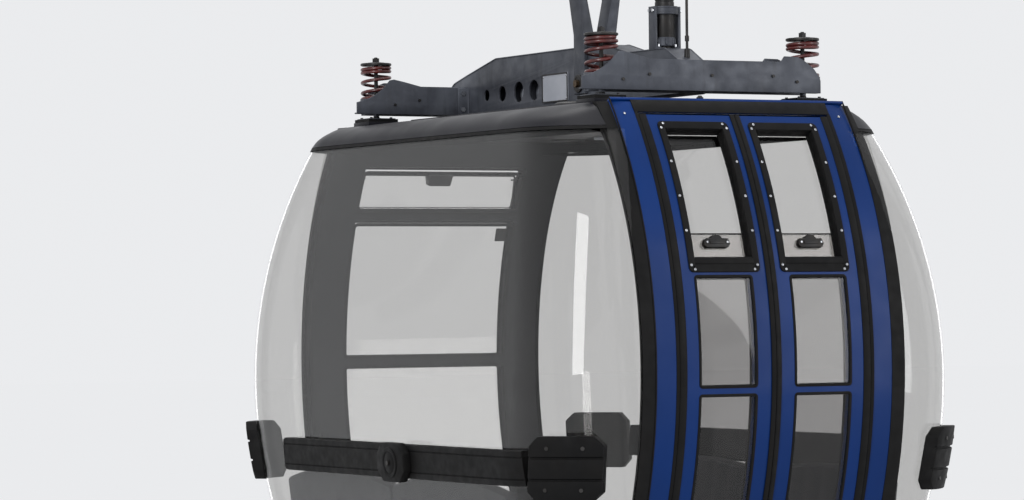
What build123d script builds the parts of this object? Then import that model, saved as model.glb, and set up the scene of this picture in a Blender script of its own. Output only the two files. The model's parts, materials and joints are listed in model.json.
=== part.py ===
from build123d import *
from functools import lru_cache
import math
import os

# A ten-seat cable car cabin with its hanger and detachable grip, in millimetres.
# Origin: the axis of the haul rope, midway along the grip's jaws.
# +X runs along the rope, -Y is the door side, +Z is up.
# A drop is measured down from the roof top, a rise up from it.

# Cabin body
CABIN_LENGTH = 1534.0
CABIN_WIDTH = 2438.0
CABIN_HEIGHT = 2200.0
ROOF_TOP_Z = -1965.0
CORNER_RADIUS = 300.0
SIDE_RADIUS = 1400.0
SIDE_BELT_DROP = 835.0
SIDE_LEAN = 16.9
END_RADIUS = 2660.0
END_BELT_DROP = 945.0
END_LEAN = 9.8
WALL = 45.0
PAN_HEIGHT = 130.0
PAN_RIM = 150.0
FLOOR_SKIN = 24.0

# Roof
FASCIA_HEIGHT = 90.0
FASCIA_WALL = 22.0
ROOF_SKIN = 14.0
ROOF_EDGE_RADIUS = 30.0

# Door side and back wall
PILLAR_OUT = 425.0
PILLAR_IN = 355.0
TRIM_OUT = 460.0
TRIM_DEPTH = 16.0
HEADER_DEPTH = 34.0
BACK_OPEN = 320.0
VENT_TOP_DROP = 145.0
VENT_LOW_DROP = 289.0
MAIN_TOP_DROP = 332.0
MAIN_LOW_DROP = 817.0
LOWER_TOP_DROP = 855.0
LOWER_SILL = 70.0
WINDOW_CORNER = 13.0
PANE = 6.0
PANE_REBATE = 14.0
VENT_TILT = 14.0
VENT_PLAY = 4.0
LATCH_WIDTH = 92.0
LATCH_HEIGHT = 38.0
LATCH_DEPTH = 22.0

# End glass
GLASS = 6.0
GLASS_RECESS = 3.0
GASKET_TOP = 10.0
GASKET_LOW = 26.0
GASKET_SIDE = 12.0

# Door leaves
LEAF_THICK = 34.0
LEAF_SIDE_GAP = 12.0
LEAF_MID_GAP = 3.0
LEAF_TOP_GAP = 7.0
LEAF_LOW_LIFT = 12.0
LEAF_SILL_GAP = 9.0
SASH_IN_X = 37.0
SASH_OUT_X = 289.0
SASH_TOP_DROP = 77.0
SASH_LOW_DROP = 545.0
SASH_FRAME = 25.0
SASH_BAR = 47.0
SASH_PROUD = 5.0
SASH_CORNER = 26.0
SASH_LATCH_X = 170.0
SASH_LATCH_DROP = 447.0
LIGHT_IN_X = 70.0
LIGHT_OUT_X = 271.0
LIGHT_TOP_DROP = 557.0
CROSSBAR_DROP = 895.0
CROSSBAR = 25.0
LIGHT_LOW_LIFT = 120.0
LIGHT_CORNER = 8.0

# Swing arms and their pins, under the sill
ARM_LENGTH = 200.0
ARM_START = 178.0
ARM_WIDTH = 24.0
ARM_THICK = 14.0
ARM_EYE = 32.0
ARM_PIN = 16.0
PIN_FIT = 0.3
ARM_SPREAD_X = 140.0
ARM_SPREAD_Y = -50.0
ARM_PIVOT_X = 272.0
ARM_PIVOT_INSET = 90.0
FOOT_PLATE = 10.0
FOOT_GAP = 10.0
FOOT_BOSS = 30.0
ARM_GAP = 6.0
ARM_BEARING = 44.0

# Bumpers
RAIL_DROP = 1135.0
RAIL_HEIGHT = 110.0
RAIL_PROUD = 30.0
BLOCK_HEIGHT = 200.0
BLOCK_PROUD = 36.0
BLOCK_CHORD = 236.0
BLOCK_CHAMFER = 30.0
BLOCK_GROOVE = 7.0
RAIL_END_Y = 690.0
RAIL_END_RADIUS = 20.0
RAIL_CAP_Y = 190.0
RAIL_CAP_WIDTH = 190.0
RAIL_CAP_HEIGHT = 124.0
RAIL_CAP_CHAMFER = 36.0
RAIL_CAP_PROUD = 34.0

# Benches
SEAT_HEIGHT = 430.0
SEAT_DEPTH = 400.0
SEAT_THICK = 70.0
BACK_HEIGHT = 465.0
BACK_SHOULDER = 41.0
BACK_THICK = 50.0
BACK_SPLIT = 12.0
BACK_JOINT = 0.3
BENCH_HALF = 800.0
BENCH_GAP = 20.0
BENCH_LEG = 40.0
BENCH_LEG_Y = 600.0

# Roof frame
SPRING_X = 370.0
SPRING_Y = 800.0
SPRING_OD = 108.0
SPRING_WIRE = 16.0
SPRING_COILS = 4
SPRING_SEAT_RISE = 76.0
SPRING_CAP_RISE = 206.0
SPRING_CAP = 8.0
STEM = 14.0
STEM_HOLE = 18.0
STEM_NUT = 28.0
STEM_NUT_HEIGHT = 12.0
PAD = 112.0
PAD_THICK = 12.0
BEAM_RISE = 28.0
BEAM_HEIGHT = 98.0
BEAM_WIDTH = 124.0
SEAT_DISH = 116.0
BEAM_PLATE = 6.0
RISER_X = 299.0
SPINE_WIDTH = 92.0
SPINE_PLATE = 6.0
SPINE_TOP_RISE = 214.0
SPINE_SHELF_RISE = 178.0
SPINE_SHELF_Y = -640.0
SPINE_BEND = 150.0
SPINE_STEP = 20.0
HOLE_RISE = 90.0
PLATE_WIDTH = 166.0
PLATE_HEIGHT = 96.0
PLATE_Y = 60.0
PLATE_THICK = 3.0

# Hanger
HANGER_Y = 190.0
PIN_Z = -78.0
PIN_DIAMETER = 60.0
PIN_PLAY = 0.3
PIN_HEAD = 90.0
PIN_HEAD_THICK = 12.0
EYE_DIAMETER = 140.0
HANGER_WIDTH = 112.0
HANGER_THICK = 84.0
HANGER_BEND = 260.0
KINK_Z = -700.0
FOOT_KINK_Z = -1180.0
FOOT_TOP_Z = -1440.0
FOOT_Y = -100.0
FOOT_WIDTH = 124.0
FOOT_TOP_WIDTH = 156.0
FOOT_DEPTH = 70.0
FOOT_PLAY = 0.5
FOOT_PIN = 34.0
FOOT_PIN_HEAD = 60.0
FOOT_PIN_HEAD_THICK = 12.0
FOOT_PIN_RISE = 93.0
SLOT_LOW_WIDTH = 44.0
SLOT_WIDTH = 92.0
SLOT_LOW_RISE = 253.0
SLOT_MID_RISE = 370.0
SLOT_TOP_RISE = 465.0
SLOT_TAPER = 55.0

# Sway damper and door cable
DAMPER_Y = -560.0
DAMPER_OD = 62.0
DAMPER_ROD = 22.0
DAMPER_FOOT = 40.0
DAMPER_LOW_RISE = 210.0
DAMPER_HEIGHT = 200.0
DAMPER_ARM_RISE = 560.0
DAMPER_ARM = 50.0
BRACKET_WIDTH = 96.0
BRACKET_DEPTH = 40.0
BRACKET_HEIGHT = 138.0
BRACKET_PLATE = 9.0
COLLAR_OD = 86.0
COLLAR_HEIGHT = 26.0
CABLE_Y = -700.0
CABLE_OD = 9.0
CABLE_EYE = 26.0

# Grip
ROPE_DIAMETER = 50.0
JAW_LENGTH = 220.0
JAW_WALL = 30.0
JAW_SPLIT = 3.0
TONGUE_HALF = 30.0
TONGUE_REACH = 152.0
GRIP_LENGTH = 300.0
GRIP_LOW = -150.0
GRIP_HIGH = 120.0
GRIP_Y = 62.0
GRIP_DEPTH = 60.0
GRIP_EDGE = 10.0
GRIP_SLOT_PLAY = 0.3
ROLLER_OD = 130.0
ROLLER_TYRE = 12.0
ROLLER_WIDTH = 36.0
ROLLER_X = 100.0
ROLLER_Z = 192.0
ROLLER_GAP = 6.0
ROLLER_PLATE = 14.0
ROLLER_AXLE = 24.0
AXLE_CAP = 40.0
AXLE_CAP_THICK = 8.0
LEVER_LENGTH = 170.0
LEVER_WIDTH = 44.0
LEVER_THICK = 18.0
LEVER_Z = 34.0
LEVER_WHEEL = 60.0
SPRING_POT = 66.0
SPRING_POT_X = 92.0
SPRING_POT_LOW = 12.0
SPRING_POT_LENGTH = 104.0

FLOOR_Z = ROOF_TOP_Z - CABIN_HEIGHT
PAN_TOP_Z = FLOOR_Z + PAN_HEIGHT
BIG = 2 * CABIN_WIDTH

os.makedirs("parts", exist_ok=True)


def save(name, *shapes):
    """Write one node from its solids."""
    solids = []
    for shape in shapes:
        solids += list(shape.solids())
    whole = solids[0] if len(solids) == 1 else Compound(children=solids)
    export_step(whole, "parts/" + name + ".step")


def block(x, y, z):
    """A box from three pairs of limits, in any order."""
    x, y, z = sorted(x), sorted(y), sorted(z)
    centre = Pos((x[0] + x[1]) / 2, (y[0] + y[1]) / 2, (z[0] + z[1]) / 2)
    return centre * Box(x[1] - x[0], y[1] - y[0], z[1] - z[0])


def post(x, y, z, diameter):
    """An upright round bar between two heights."""
    low, high = sorted(z)
    return Pos(x, y, (low + high) / 2) * Cylinder(diameter / 2, high - low)


def bar_x(x, y, z, diameter):
    """A round bar along X between two limits."""
    low, high = sorted(x)
    return Pos((low + high) / 2, y, z) * Rot(0, 90, 0) * Cylinder(diameter / 2, high - low)


def bar_y(x, y, z, diameter):
    """A round bar along Y between two limits."""
    low, high = sorted(y)
    return Pos(x, (low + high) / 2, z) * Rot(90, 0, 0) * Cylinder(diameter / 2, high - low)


def at_drop(drop):
    """The height that lies a drop below the roof top."""
    return ROOF_TOP_Z - drop


def at_rise(rise):
    """The height that lies a rise above the roof top."""
    return ROOF_TOP_Z + rise


def wall_half(drop, half, radius, belt, lean, inset):
    """Half the body's width at a drop, on the surface that is set in by inset."""
    inner = radius - inset
    angle = math.radians(lean)
    below = drop - belt
    if below <= inner * math.sin(angle):
        return half - radius + math.sqrt(inner * inner - below * below)
    run = below - inner * math.sin(angle)
    return half - radius + inner * math.cos(angle) - run * math.tan(angle)


def side_half(drop, inset=0.0):
    """Half the width across the door side and the back wall."""
    return wall_half(drop, CABIN_WIDTH / 2, SIDE_RADIUS, SIDE_BELT_DROP, SIDE_LEAN, inset)


def end_half(drop, inset=0.0):
    """Half the length across the two glass ends."""
    return wall_half(drop, CABIN_LENGTH / 2, END_RADIUS, END_BELT_DROP, END_LEAN, inset)


def wall_profile(plane, half_at, tangent, inset):
    """The body's outline in one upright plane: an arc each side, then a straight lean."""
    middle = tangent / 2
    right = ThreePointArc(
        (half_at(0.0, inset), at_drop(0.0)),
        (half_at(middle, inset), at_drop(middle)),
        (half_at(tangent, inset), at_drop(tangent)),
    )
    left = ThreePointArc(
        (-half_at(tangent, inset), at_drop(tangent)),
        (-half_at(middle, inset), at_drop(middle)),
        (-half_at(0.0, inset), at_drop(0.0)),
    )
    low_right = (half_at(CABIN_HEIGHT, inset), FLOOR_Z)
    low_left = (-half_at(CABIN_HEIGHT, inset), FLOOR_Z)
    edges = [
        right,
        Line(right @ 1, low_right),
        Line(low_right, low_left),
        Line(low_left, left @ 0),
        left,
        Line(left @ 1, right @ 0),
    ]
    return plane * make_face(edges)


@lru_cache(maxsize=None)
def body_shape(inset):
    """The cabin's whole outline as a solid, set in by inset on its four sides."""
    side_tangent = SIDE_BELT_DROP + (SIDE_RADIUS - inset) * math.sin(math.radians(SIDE_LEAN))
    end_tangent = END_BELT_DROP + (END_RADIUS - inset) * math.sin(math.radians(END_LEAN))
    side = extrude(wall_profile(Plane.YZ, side_half, side_tangent, inset), CABIN_LENGTH, both=True)
    end = extrude(wall_profile(Plane.XZ, end_half, end_tangent, inset), CABIN_WIDTH, both=True)
    whole = (side & end).solids()[0]
    upright = []
    for edge in whole.edges():
        middle = edge @ 0.5
        steep = abs((edge @ 0).Z - (edge @ 1).Z) > CABIN_HEIGHT / 50
        if steep and abs(middle.X) > CABIN_LENGTH / 4 and abs(middle.Y) > CABIN_WIDTH / 4:
            upright.append(edge)
    return fillet(upright, CORNER_RADIUS - inset)


def band(outer, inner, x, y, z):
    """The body's wall between two insets, inside a box."""
    return (body_shape(outer) & block(x, y, z)) - body_shape(inner)


def rounded(box, axis, radius):
    """A box with its four edges along an axis rounded."""
    return fillet(box.edges().filter_by(axis), radius)


DOOR_SIDE = (-BIG, 0.0)
BACK_SIDE = (0.0, BIG)
ALL_ROUND = (-BIG, BIG)

# Roof shell: a thin lid with a fascia round its two ends
roof = body_shape(0.0) & block(ALL_ROUND, ALL_ROUND, (at_drop(FASCIA_HEIGHT), at_rise(1.0)))
roof = fillet(roof.faces().sort_by(Axis.Z)[-1].edges(), ROOF_EDGE_RADIUS)
roof -= body_shape(FASCIA_WALL) & block(ALL_ROUND, ALL_ROUND, (FLOOR_Z, at_drop(ROOF_SKIN)))
roof -= block((-TRIM_OUT, TRIM_OUT), ALL_ROUND, (at_drop(2 * FASCIA_HEIGHT), at_drop(ROOF_SKIN)))
save("roof_shell", roof)

# Floor pan: a tray with its rim down, set back under the door leaves
pan = body_shape(0.0) & block(ALL_ROUND, ALL_ROUND, (FLOOR_Z, PAN_TOP_Z))
pan -= body_shape(PAN_RIM) & block(ALL_ROUND, ALL_ROUND, (FLOOR_Z - 1.0, PAN_TOP_Z - FLOOR_SKIN))
sill = block((-PILLAR_IN, PILLAR_IN), DOOR_SIDE, (FLOOR_Z - 1.0, PAN_TOP_Z + 1.0))
pan -= sill - body_shape(LEAF_THICK + LEAF_SILL_GAP)
save("floor_pan", pan)

# Door portal: two pillars and the header over the leaves
header_low = at_drop(ROOF_SKIN + HEADER_DEPTH)
portal = band(0.0, WALL, (-PILLAR_OUT, PILLAR_OUT), DOOR_SIDE, (PAN_TOP_Z, at_drop(ROOF_SKIN)))
portal -= block((-PILLAR_IN, PILLAR_IN), DOOR_SIDE, (PAN_TOP_Z - 1.0, header_low))
save("door_portal", portal)

# Back wall: one frame with three windows, the top one a vent
back_windows = [
    # drop of the top edge, drop of the low edge
    (VENT_TOP_DROP, VENT_LOW_DROP),
    (MAIN_TOP_DROP, MAIN_LOW_DROP),
    (LOWER_TOP_DROP, CABIN_HEIGHT - PAN_HEIGHT - LOWER_SILL),
]
back = band(0.0, WALL, (-TRIM_OUT, TRIM_OUT), BACK_SIDE, (PAN_TOP_Z, at_drop(ROOF_SKIN)))
back_panes = []
for top, low in back_windows:
    hole = block((-BACK_OPEN, BACK_OPEN), BACK_SIDE, (at_drop(low), at_drop(top)))
    hole = rounded(hole, Axis.Y, WINDOW_CORNER)
    back -= hole
    if top != VENT_TOP_DROP:
        back_panes.append((body_shape(PANE_REBATE) & hole) - body_shape(PANE_REBATE + PANE))
save("back_frame", back)
save("back_panes", *back_panes)

# Vent pane: hinged along its low edge, its top tipped inwards
vent_height = VENT_LOW_DROP - VENT_TOP_DROP - 2 * VENT_PLAY
vent = Pos(0, -PANE / 2, vent_height / 2) * Box(2 * (BACK_OPEN - VENT_PLAY), PANE, vent_height)
vent = rounded(vent, Axis.Y, WINDOW_CORNER)
vent += Pos(0, -PANE - LATCH_DEPTH / 2, vent_height - LATCH_HEIGHT / 2) * Box(
    LATCH_WIDTH, LATCH_DEPTH, LATCH_HEIGHT
)
vent_y = side_half(VENT_LOW_DROP, PANE_REBATE)
vent_low = at_drop(VENT_LOW_DROP - VENT_PLAY / 2)
save("back_vent", Pos(0, vent_y, vent_low) * Rot(VENT_TILT, 0, 0) * vent)

# Slabs that the corner blocks fill, one across each corner
corner_slabs = []
block_z = at_drop(RAIL_DROP) - BLOCK_HEIGHT / 2
for side_x, side_y in ((-1, -1), (-1, 1), (1, -1), (1, 1)):
    turn_x = side_x * (end_half(RAIL_DROP) - CORNER_RADIUS)
    turn_y = side_y * (side_half(RAIL_DROP) - CORNER_RADIUS)
    facing = math.degrees(math.atan2(side_y, side_x))
    slab = Pos(CORNER_RADIUS, 0, BLOCK_HEIGHT / 2) * Box(CORNER_RADIUS, BLOCK_CHORD, BLOCK_HEIGHT)
    slab = chamfer(slab.edges().filter_by(Axis.X), BLOCK_CHAMFER)
    corner_slabs.append(Pos(turn_x, turn_y, block_z) * Rot(0, 0, facing) * slab)

# Ends: wrap-round glass, its rubber, the bumper rail and the rail's cap
glass_z = (PAN_TOP_Z + GASKET_LOW, at_drop(FASCIA_HEIGHT + GASKET_TOP))
rail_z = (at_drop(RAIL_DROP + RAIL_HEIGHT / 2), at_drop(RAIL_DROP - RAIL_HEIGHT / 2))
for side, name in ((-1, "left"), (1, "right")):
    glass_x = (side * (TRIM_OUT + GASKET_SIDE), side * BIG)
    end_x = (side * TRIM_OUT, side * BIG)
    trim_x = (side * PILLAR_OUT, side * TRIM_OUT)
    rubber = band(0.0, TRIM_DEPTH, end_x, ALL_ROUND, (PAN_TOP_Z, at_drop(FASCIA_HEIGHT)))
    rubber -= block(glass_x, ALL_ROUND, glass_z)
    rubber += band(0.0, TRIM_DEPTH, trim_x, DOOR_SIDE, (PAN_TOP_Z, at_drop(ROOF_SKIN)))
    save("glass_rubber_" + name, rubber)
    save("end_glass_" + name, band(GLASS_RECESS, GLASS_RECESS + GLASS, glass_x, ALL_ROUND, glass_z))
    reach = block((0.0, side * BIG), (-side * RAIL_END_Y, side * BIG), rail_z)
    reach = fillet(reach.edges().filter_by(Axis.X), RAIL_END_RADIUS)
    rail = (body_shape(-RAIL_PROUD) & reach) - body_shape(GLASS_RECESS)
    for slab in corner_slabs:
        rail -= slab
    middle_rail = [piece for piece in rail.solids() if abs(piece.center().Y) < CORNER_RADIUS]
    save("bumper_rail_" + name, *middle_rail)
    cap_x = side * (end_half(RAIL_DROP) + RAIL_PROUD)
    cap_y = side * RAIL_CAP_Y
    cap = block(
        (0.0, cap_x + side * RAIL_CAP_PROUD),
        (cap_y - RAIL_CAP_WIDTH / 2, cap_y + RAIL_CAP_WIDTH / 2),
        (at_drop(RAIL_DROP + RAIL_CAP_HEIGHT / 2), at_drop(RAIL_DROP - RAIL_CAP_HEIGHT / 2)),
    )
    cap = chamfer(cap.edges().filter_by(Axis.X), RAIL_CAP_CHAMFER)
    save("rail_cap_" + name, cap - body_shape(-RAIL_PROUD))

# Corner blocks: rubber round each corner, in three stacked segments
blocks = []
for slab in corner_slabs:
    rubber = (body_shape(-BLOCK_PROUD) & slab) - body_shape(GLASS_RECESS)
    for share in (1 / 3, 2 / 3):
        groove_z = block_z + share * BLOCK_HEIGHT
        groove = block(ALL_ROUND, ALL_ROUND, (groove_z - BLOCK_GROOVE / 2, groove_z + BLOCK_GROOVE / 2))
        rubber -= (groove & slab) - body_shape(BLOCK_GROOVE - BLOCK_PROUD)
    blocks.append(rubber)
save("corner_blocks", *blocks)

# Benches: a seat, two backrests and their frame at each end
seat_z = PAN_TOP_Z + SEAT_HEIGHT
seat_low = seat_z - SEAT_THICK
back_inset = GLASS_RECESS + GLASS + BENCH_GAP
for side, name in ((-1, "left"), (1, "right")):
    seat_x = end_half(ROOF_TOP_Z - seat_low, back_inset)
    seat = block((side * seat_x, side * (seat_x - SEAT_DEPTH)), (-BENCH_HALF, BENCH_HALF), (seat_low, seat_z))
    save("seat_" + name, rounded(seat, Axis.Y, SEAT_THICK / 4))
    backs = []
    back_top = seat_z + BACK_HEIGHT
    for side_y in (-1, 1):
        inner_y = side_y * BACK_SPLIT / 2
        outer_y = side_y * BENCH_HALF
        hump = ThreePointArc(
            (inner_y, back_top - BACK_SHOULDER),
            ((inner_y + outer_y) / 2, back_top),
            (outer_y, back_top - BACK_SHOULDER),
        )
        low = seat_z + BACK_JOINT
        outline = make_face([hump, Polyline(hump @ 1, (outer_y, low), (inner_y, low), hump @ 0)])
        shape = extrude(Plane.YZ * outline, side * CABIN_LENGTH)
        shape = body_shape(back_inset) & shape
        backs.append(shape - body_shape(back_inset + BACK_THICK))
    save("backrests_" + name, *backs)
    middle = seat_x - SEAT_DEPTH / 2
    beam_x = (side * (middle - BENCH_LEG / 2), side * (middle + BENCH_LEG / 2))
    frame = block(beam_x, (-BENCH_HALF, BENCH_HALF), (seat_low - BENCH_LEG, seat_low))
    for y in (-BENCH_LEG_Y, 0.0, BENCH_LEG_Y):
        leg_y = (y - BENCH_LEG / 2, y + BENCH_LEG / 2)
        frame += block(beam_x, leg_y, (PAN_TOP_Z, seat_low))
        frame += block((side * seat_x, side * (seat_x - SEAT_DEPTH)), leg_y, (seat_low - BENCH_LEG, seat_low))
    save("bench_frame_" + name, frame)

# Door leaf on the +X side: a frame with three lights
leaf_x = (LEAF_MID_GAP, PILLAR_IN - LEAF_SIDE_GAP)
leaf_z = (FLOOR_Z + LEAF_LOW_LIFT, header_low - LEAF_TOP_GAP)
lights = {
    # low x, high x, drop of the top edge, drop of the low edge, corner radius
    "sash": (SASH_IN_X, SASH_OUT_X, SASH_TOP_DROP, SASH_LOW_DROP, SASH_CORNER),
    "middle": (LIGHT_IN_X, LIGHT_OUT_X, LIGHT_TOP_DROP, CROSSBAR_DROP, LIGHT_CORNER),
    "low": (LIGHT_IN_X, LIGHT_OUT_X, CROSSBAR_DROP + CROSSBAR, CABIN_HEIGHT - LIGHT_LOW_LIFT, LIGHT_CORNER),
}


def light_box(light, shrink=0.0):
    """A box through one of the leaf's lights, made smaller all round by shrink."""
    low_x, high_x, top, low, corner = lights[light]
    box = block((low_x + shrink, high_x - shrink), DOOR_SIDE, (at_drop(low) + shrink, at_drop(top) - shrink))
    return rounded(box, Axis.Y, corner - shrink / 2)


leaf = band(0.0, LEAF_THICK, leaf_x, DOOR_SIDE, leaf_z)
for light in lights:
    leaf -= light_box(light)
sash = (body_shape(-SASH_PROUD) & light_box("sash")) - body_shape(LEAF_THICK) - light_box("sash", SASH_FRAME)
bar_z = at_drop(SASH_LOW_DROP) + SASH_BAR
bar_box = block(
    (SASH_IN_X + SASH_FRAME / 2, SASH_OUT_X - SASH_FRAME / 2),
    DOOR_SIDE,
    (at_drop(SASH_LOW_DROP) + SASH_FRAME / 2, bar_z),
)
sash += (body_shape(0.0) & bar_box) - body_shape(LEAF_THICK)
pane_box = light_box("sash", SASH_FRAME) & block(ALL_ROUND, DOOR_SIDE, (bar_z, ROOF_TOP_Z))
leaf_panes = [(body_shape(LEAF_THICK - PANE) & pane_box) - body_shape(LEAF_THICK)]
for light in ("middle", "low"):
    leaf_panes.append((body_shape(GLASS_RECESS) & light_box(light)) - body_shape(GLASS_RECESS + PANE))
latch_y = -side_half(SASH_LATCH_DROP, LEAF_THICK - PANE)
latch_z = at_drop(SASH_LATCH_DROP)
latch = block(
    (SASH_LATCH_X - LATCH_WIDTH / 2, SASH_LATCH_X + LATCH_WIDTH / 2),
    (latch_y - LATCH_DEPTH, latch_y + LATCH_DEPTH),
    (latch_z - LATCH_HEIGHT / 2, latch_z + LATCH_HEIGHT / 2),
)
latch -= body_shape(LEAF_THICK - PANE)

# Foot under the leaf, and the two arms that it stands on
arm_angle = math.radians(ARM_START)
hub_x = ARM_PIVOT_X + ARM_LENGTH * math.cos(arm_angle)
pivot_y = -(side_half(CABIN_HEIGHT) - ARM_PIVOT_INSET)
hub_y = pivot_y - ARM_LENGTH * math.sin(arm_angle)
plate_z = (FLOOR_Z - FOOT_GAP - FOOT_PLATE, FLOOR_Z - FOOT_GAP)
arm_z = (plate_z[0] - ARM_GAP - ARM_THICK, plate_z[0] - ARM_GAP)
pin_low = arm_z[0] - ARM_GAP
spread = {"a": (0.0, 0.0), "b": (ARM_SPREAD_X, ARM_SPREAD_Y)}
foot_x = (hub_x - FOOT_BOSS / 2, hub_x + ARM_SPREAD_X + FOOT_BOSS / 2)
leaf_y = -side_half(CABIN_HEIGHT - LEAF_LOW_LIFT)
foot = block(foot_x, (leaf_y + PANE, leaf_y + LEAF_THICK), (plate_z[0], leaf_z[0]))
foot += block(foot_x, (leaf_y + PANE, hub_y + FOOT_BOSS / 2), plate_z)
arms = {}
bearings = []
for key, (dx, dy) in spread.items():
    hub = (hub_x + dx, hub_y + dy)
    pivot = (ARM_PIVOT_X + dx, pivot_y + dy)
    foot += post(*hub, (plate_z[0] + FOOT_PLATE / 2, pin_low), ARM_PIN)
    centre = Pos((hub[0] + pivot[0]) / 2, (hub[1] + pivot[1]) / 2, arm_z[0])
    arm = centre * Rot(0, 0, ARM_START) * extrude(Rectangle(ARM_LENGTH, ARM_WIDTH), ARM_THICK)
    for x, y in (hub, pivot):
        arm += post(x, y, arm_z, ARM_EYE)
    for x, y in (hub, pivot):
        arm -= post(x, y, (arm_z[0] - 1.0, arm_z[1] + 1.0), ARM_PIN + 2 * PIN_FIT)
    arms[key] = arm
    bearing = post(*pivot, (FLOOR_Z, arm_z[1] + PIN_FIT), ARM_BEARING)
    bearings.append(bearing + post(*pivot, (FLOOR_Z, pin_low), ARM_PIN))

for side, name in ((-1, "left"), (1, "right")):
    leaf_nodes = {
        "door_leaf_" + name: [leaf],
        "door_sash_" + name: [sash],
        "door_panes_" + name: leaf_panes,
        "sash_latch_" + name: [latch],
        "door_foot_" + name: [foot],
        "swing_arm_" + name + "_a": [arms["a"]],
        "swing_arm_" + name + "_b": [arms["b"]],
    }
    for node, shapes in leaf_nodes.items():
        if side < 0:
            shapes = [mirror(shape, Plane.YZ) for shape in shapes]
        save(node, *shapes)
save("arm_bearings", *bearings, *[mirror(bearing, Plane.YZ) for bearing in bearings])

# Cross beams of the roof frame: folded channels with a spring pocket at each end
beam_top = BEAM_RISE + BEAM_HEIGHT
right_cheek = [
    # x, rise, from the foot of the beam's +X end up and inwards
    (399.0, BEAM_RISE),
    (399.0, 68.0),
    (389.0, 87.0),
    (374.0, 106.0),
    (351.0, 123.0),
    (330.0, 136.0),
    (312.0, 143.0),
    (264.0, 144.0),
    (250.0, beam_top),
]
left_cheek = [
    # x, rise, from the beam's top out and down to the foot of its -X end
    (-226.0, beam_top),
    (-290.0, 141.0),
    (-330.0, 149.0),
    (-346.0, 146.0),
    (-367.0, 122.0),
    (-388.0, 105.0),
    (-410.0, 90.0),
    (-438.0, 78.0),
    (-474.0, 68.0),
    (-474.0, BEAM_RISE),
]
inner_cheek = [(-x, rise) for x, rise in reversed(right_cheek)]


def web(outline, y):
    """One upright plate of a beam, as thick as its sheet, from y inwards or outwards."""
    face = make_face(Polyline([(x, at_rise(rise)) for x, rise in outline], close=True))
    return Pos(0, y, 0) * extrude(Plane.XZ * face, BEAM_PLATE / 2, both=True)


web_y = BEAM_WIDTH / 2 - BEAM_PLATE / 2
beam = web(right_cheek + left_cheek, -web_y)
beam += web(right_cheek + inner_cheek, web_y)
beam_y = (-BEAM_WIDTH / 2, BEAM_WIDTH / 2)
beam += block((-RISER_X, RISER_X), beam_y, (at_rise(beam_top - BEAM_PLATE), at_rise(beam_top)))
shelf_z = (at_rise(SPRING_SEAT_RISE - BEAM_PLATE), at_rise(SPRING_SEAT_RISE))
shelf_y = (beam_y[0] + BEAM_PLATE, beam_y[1] - BEAM_PLATE)
for side in (-1, 1):
    beam += block((side * RISER_X, side * (SPRING_X + SEAT_DISH / 2)), shelf_y, shelf_z)
    riser_x = (side * (RISER_X - BEAM_PLATE), side * RISER_X)
    beam += block(riser_x, shelf_y, (shelf_z[0], at_rise(beam_top)))
    beam -= post(side * SPRING_X, 0.0, (at_rise(BEAM_RISE), at_rise(beam_top)), STEM_HOLE)
beam = Pos(0, -SPRING_Y, 0) * beam
save("frame_beam_door", beam)
save("frame_beam_back", mirror(beam, Plane.XZ))

# Spine: a box girder between the beams, humped along its middle
spine_end = SPRING_Y - BEAM_WIDTH / 2
spine_points = [
    # y, rise
    (-spine_end, BEAM_RISE),
    (spine_end, BEAM_RISE),
    (spine_end, beam_top),
    (SPRING_Y - 100.0, beam_top + SPINE_STEP),
    (SPRING_Y - 330.0, SPINE_TOP_RISE),
    (FOOT_Y - 150.0, SPINE_TOP_RISE),
    (FOOT_Y - 300.0, SPINE_SHELF_RISE),
    (SPINE_SHELF_Y, SPINE_SHELF_RISE),
    (-spine_end, beam_top),
]
spine_holes = [
    # y, diameter
    (527.0, 42.0),
    (413.0, 54.0),
    (300.0, 66.0),
    (200.0, 66.0),
    (-330.0, 66.0),
    (-430.0, 54.0),
]
spine_face = make_face(Polyline([(y, at_rise(rise)) for y, rise in spine_points], close=True))
turns = [vertex for vertex in spine_face.vertices() if abs(vertex.X) < spine_end - 1.0]
spine_face = fillet(turns, SPINE_BEND)
spine_core = offset(spine_face, amount=-SPINE_PLATE, kind=Kind.INTERSECTION)
spine_hull = extrude(Plane.YZ * spine_face, SPINE_WIDTH / 2, both=True)
spine = spine_hull - extrude(Plane.YZ * spine_core, SPINE_WIDTH / 2 - SPINE_PLATE, both=True)
for y, diameter in spine_holes:
    spine -= bar_x((-SPINE_WIDTH, SPINE_WIDTH), y, at_rise(HOLE_RISE), diameter)
spine -= bar_x((-SPINE_WIDTH, SPINE_WIDTH), FOOT_Y, at_rise(FOOT_PIN_RISE), FOOT_PIN)
save("frame_spine", spine)
plate = block(
    (-SPINE_WIDTH / 2 - PLATE_THICK, -SPINE_WIDTH / 2),
    (PLATE_Y - PLATE_WIDTH / 2, PLATE_Y + PLATE_WIDTH / 2),
    (at_rise(HOLE_RISE - PLATE_HEIGHT / 2), at_rise(HOLE_RISE + PLATE_HEIGHT / 2)),
)
save("number_plate", plate)

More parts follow.
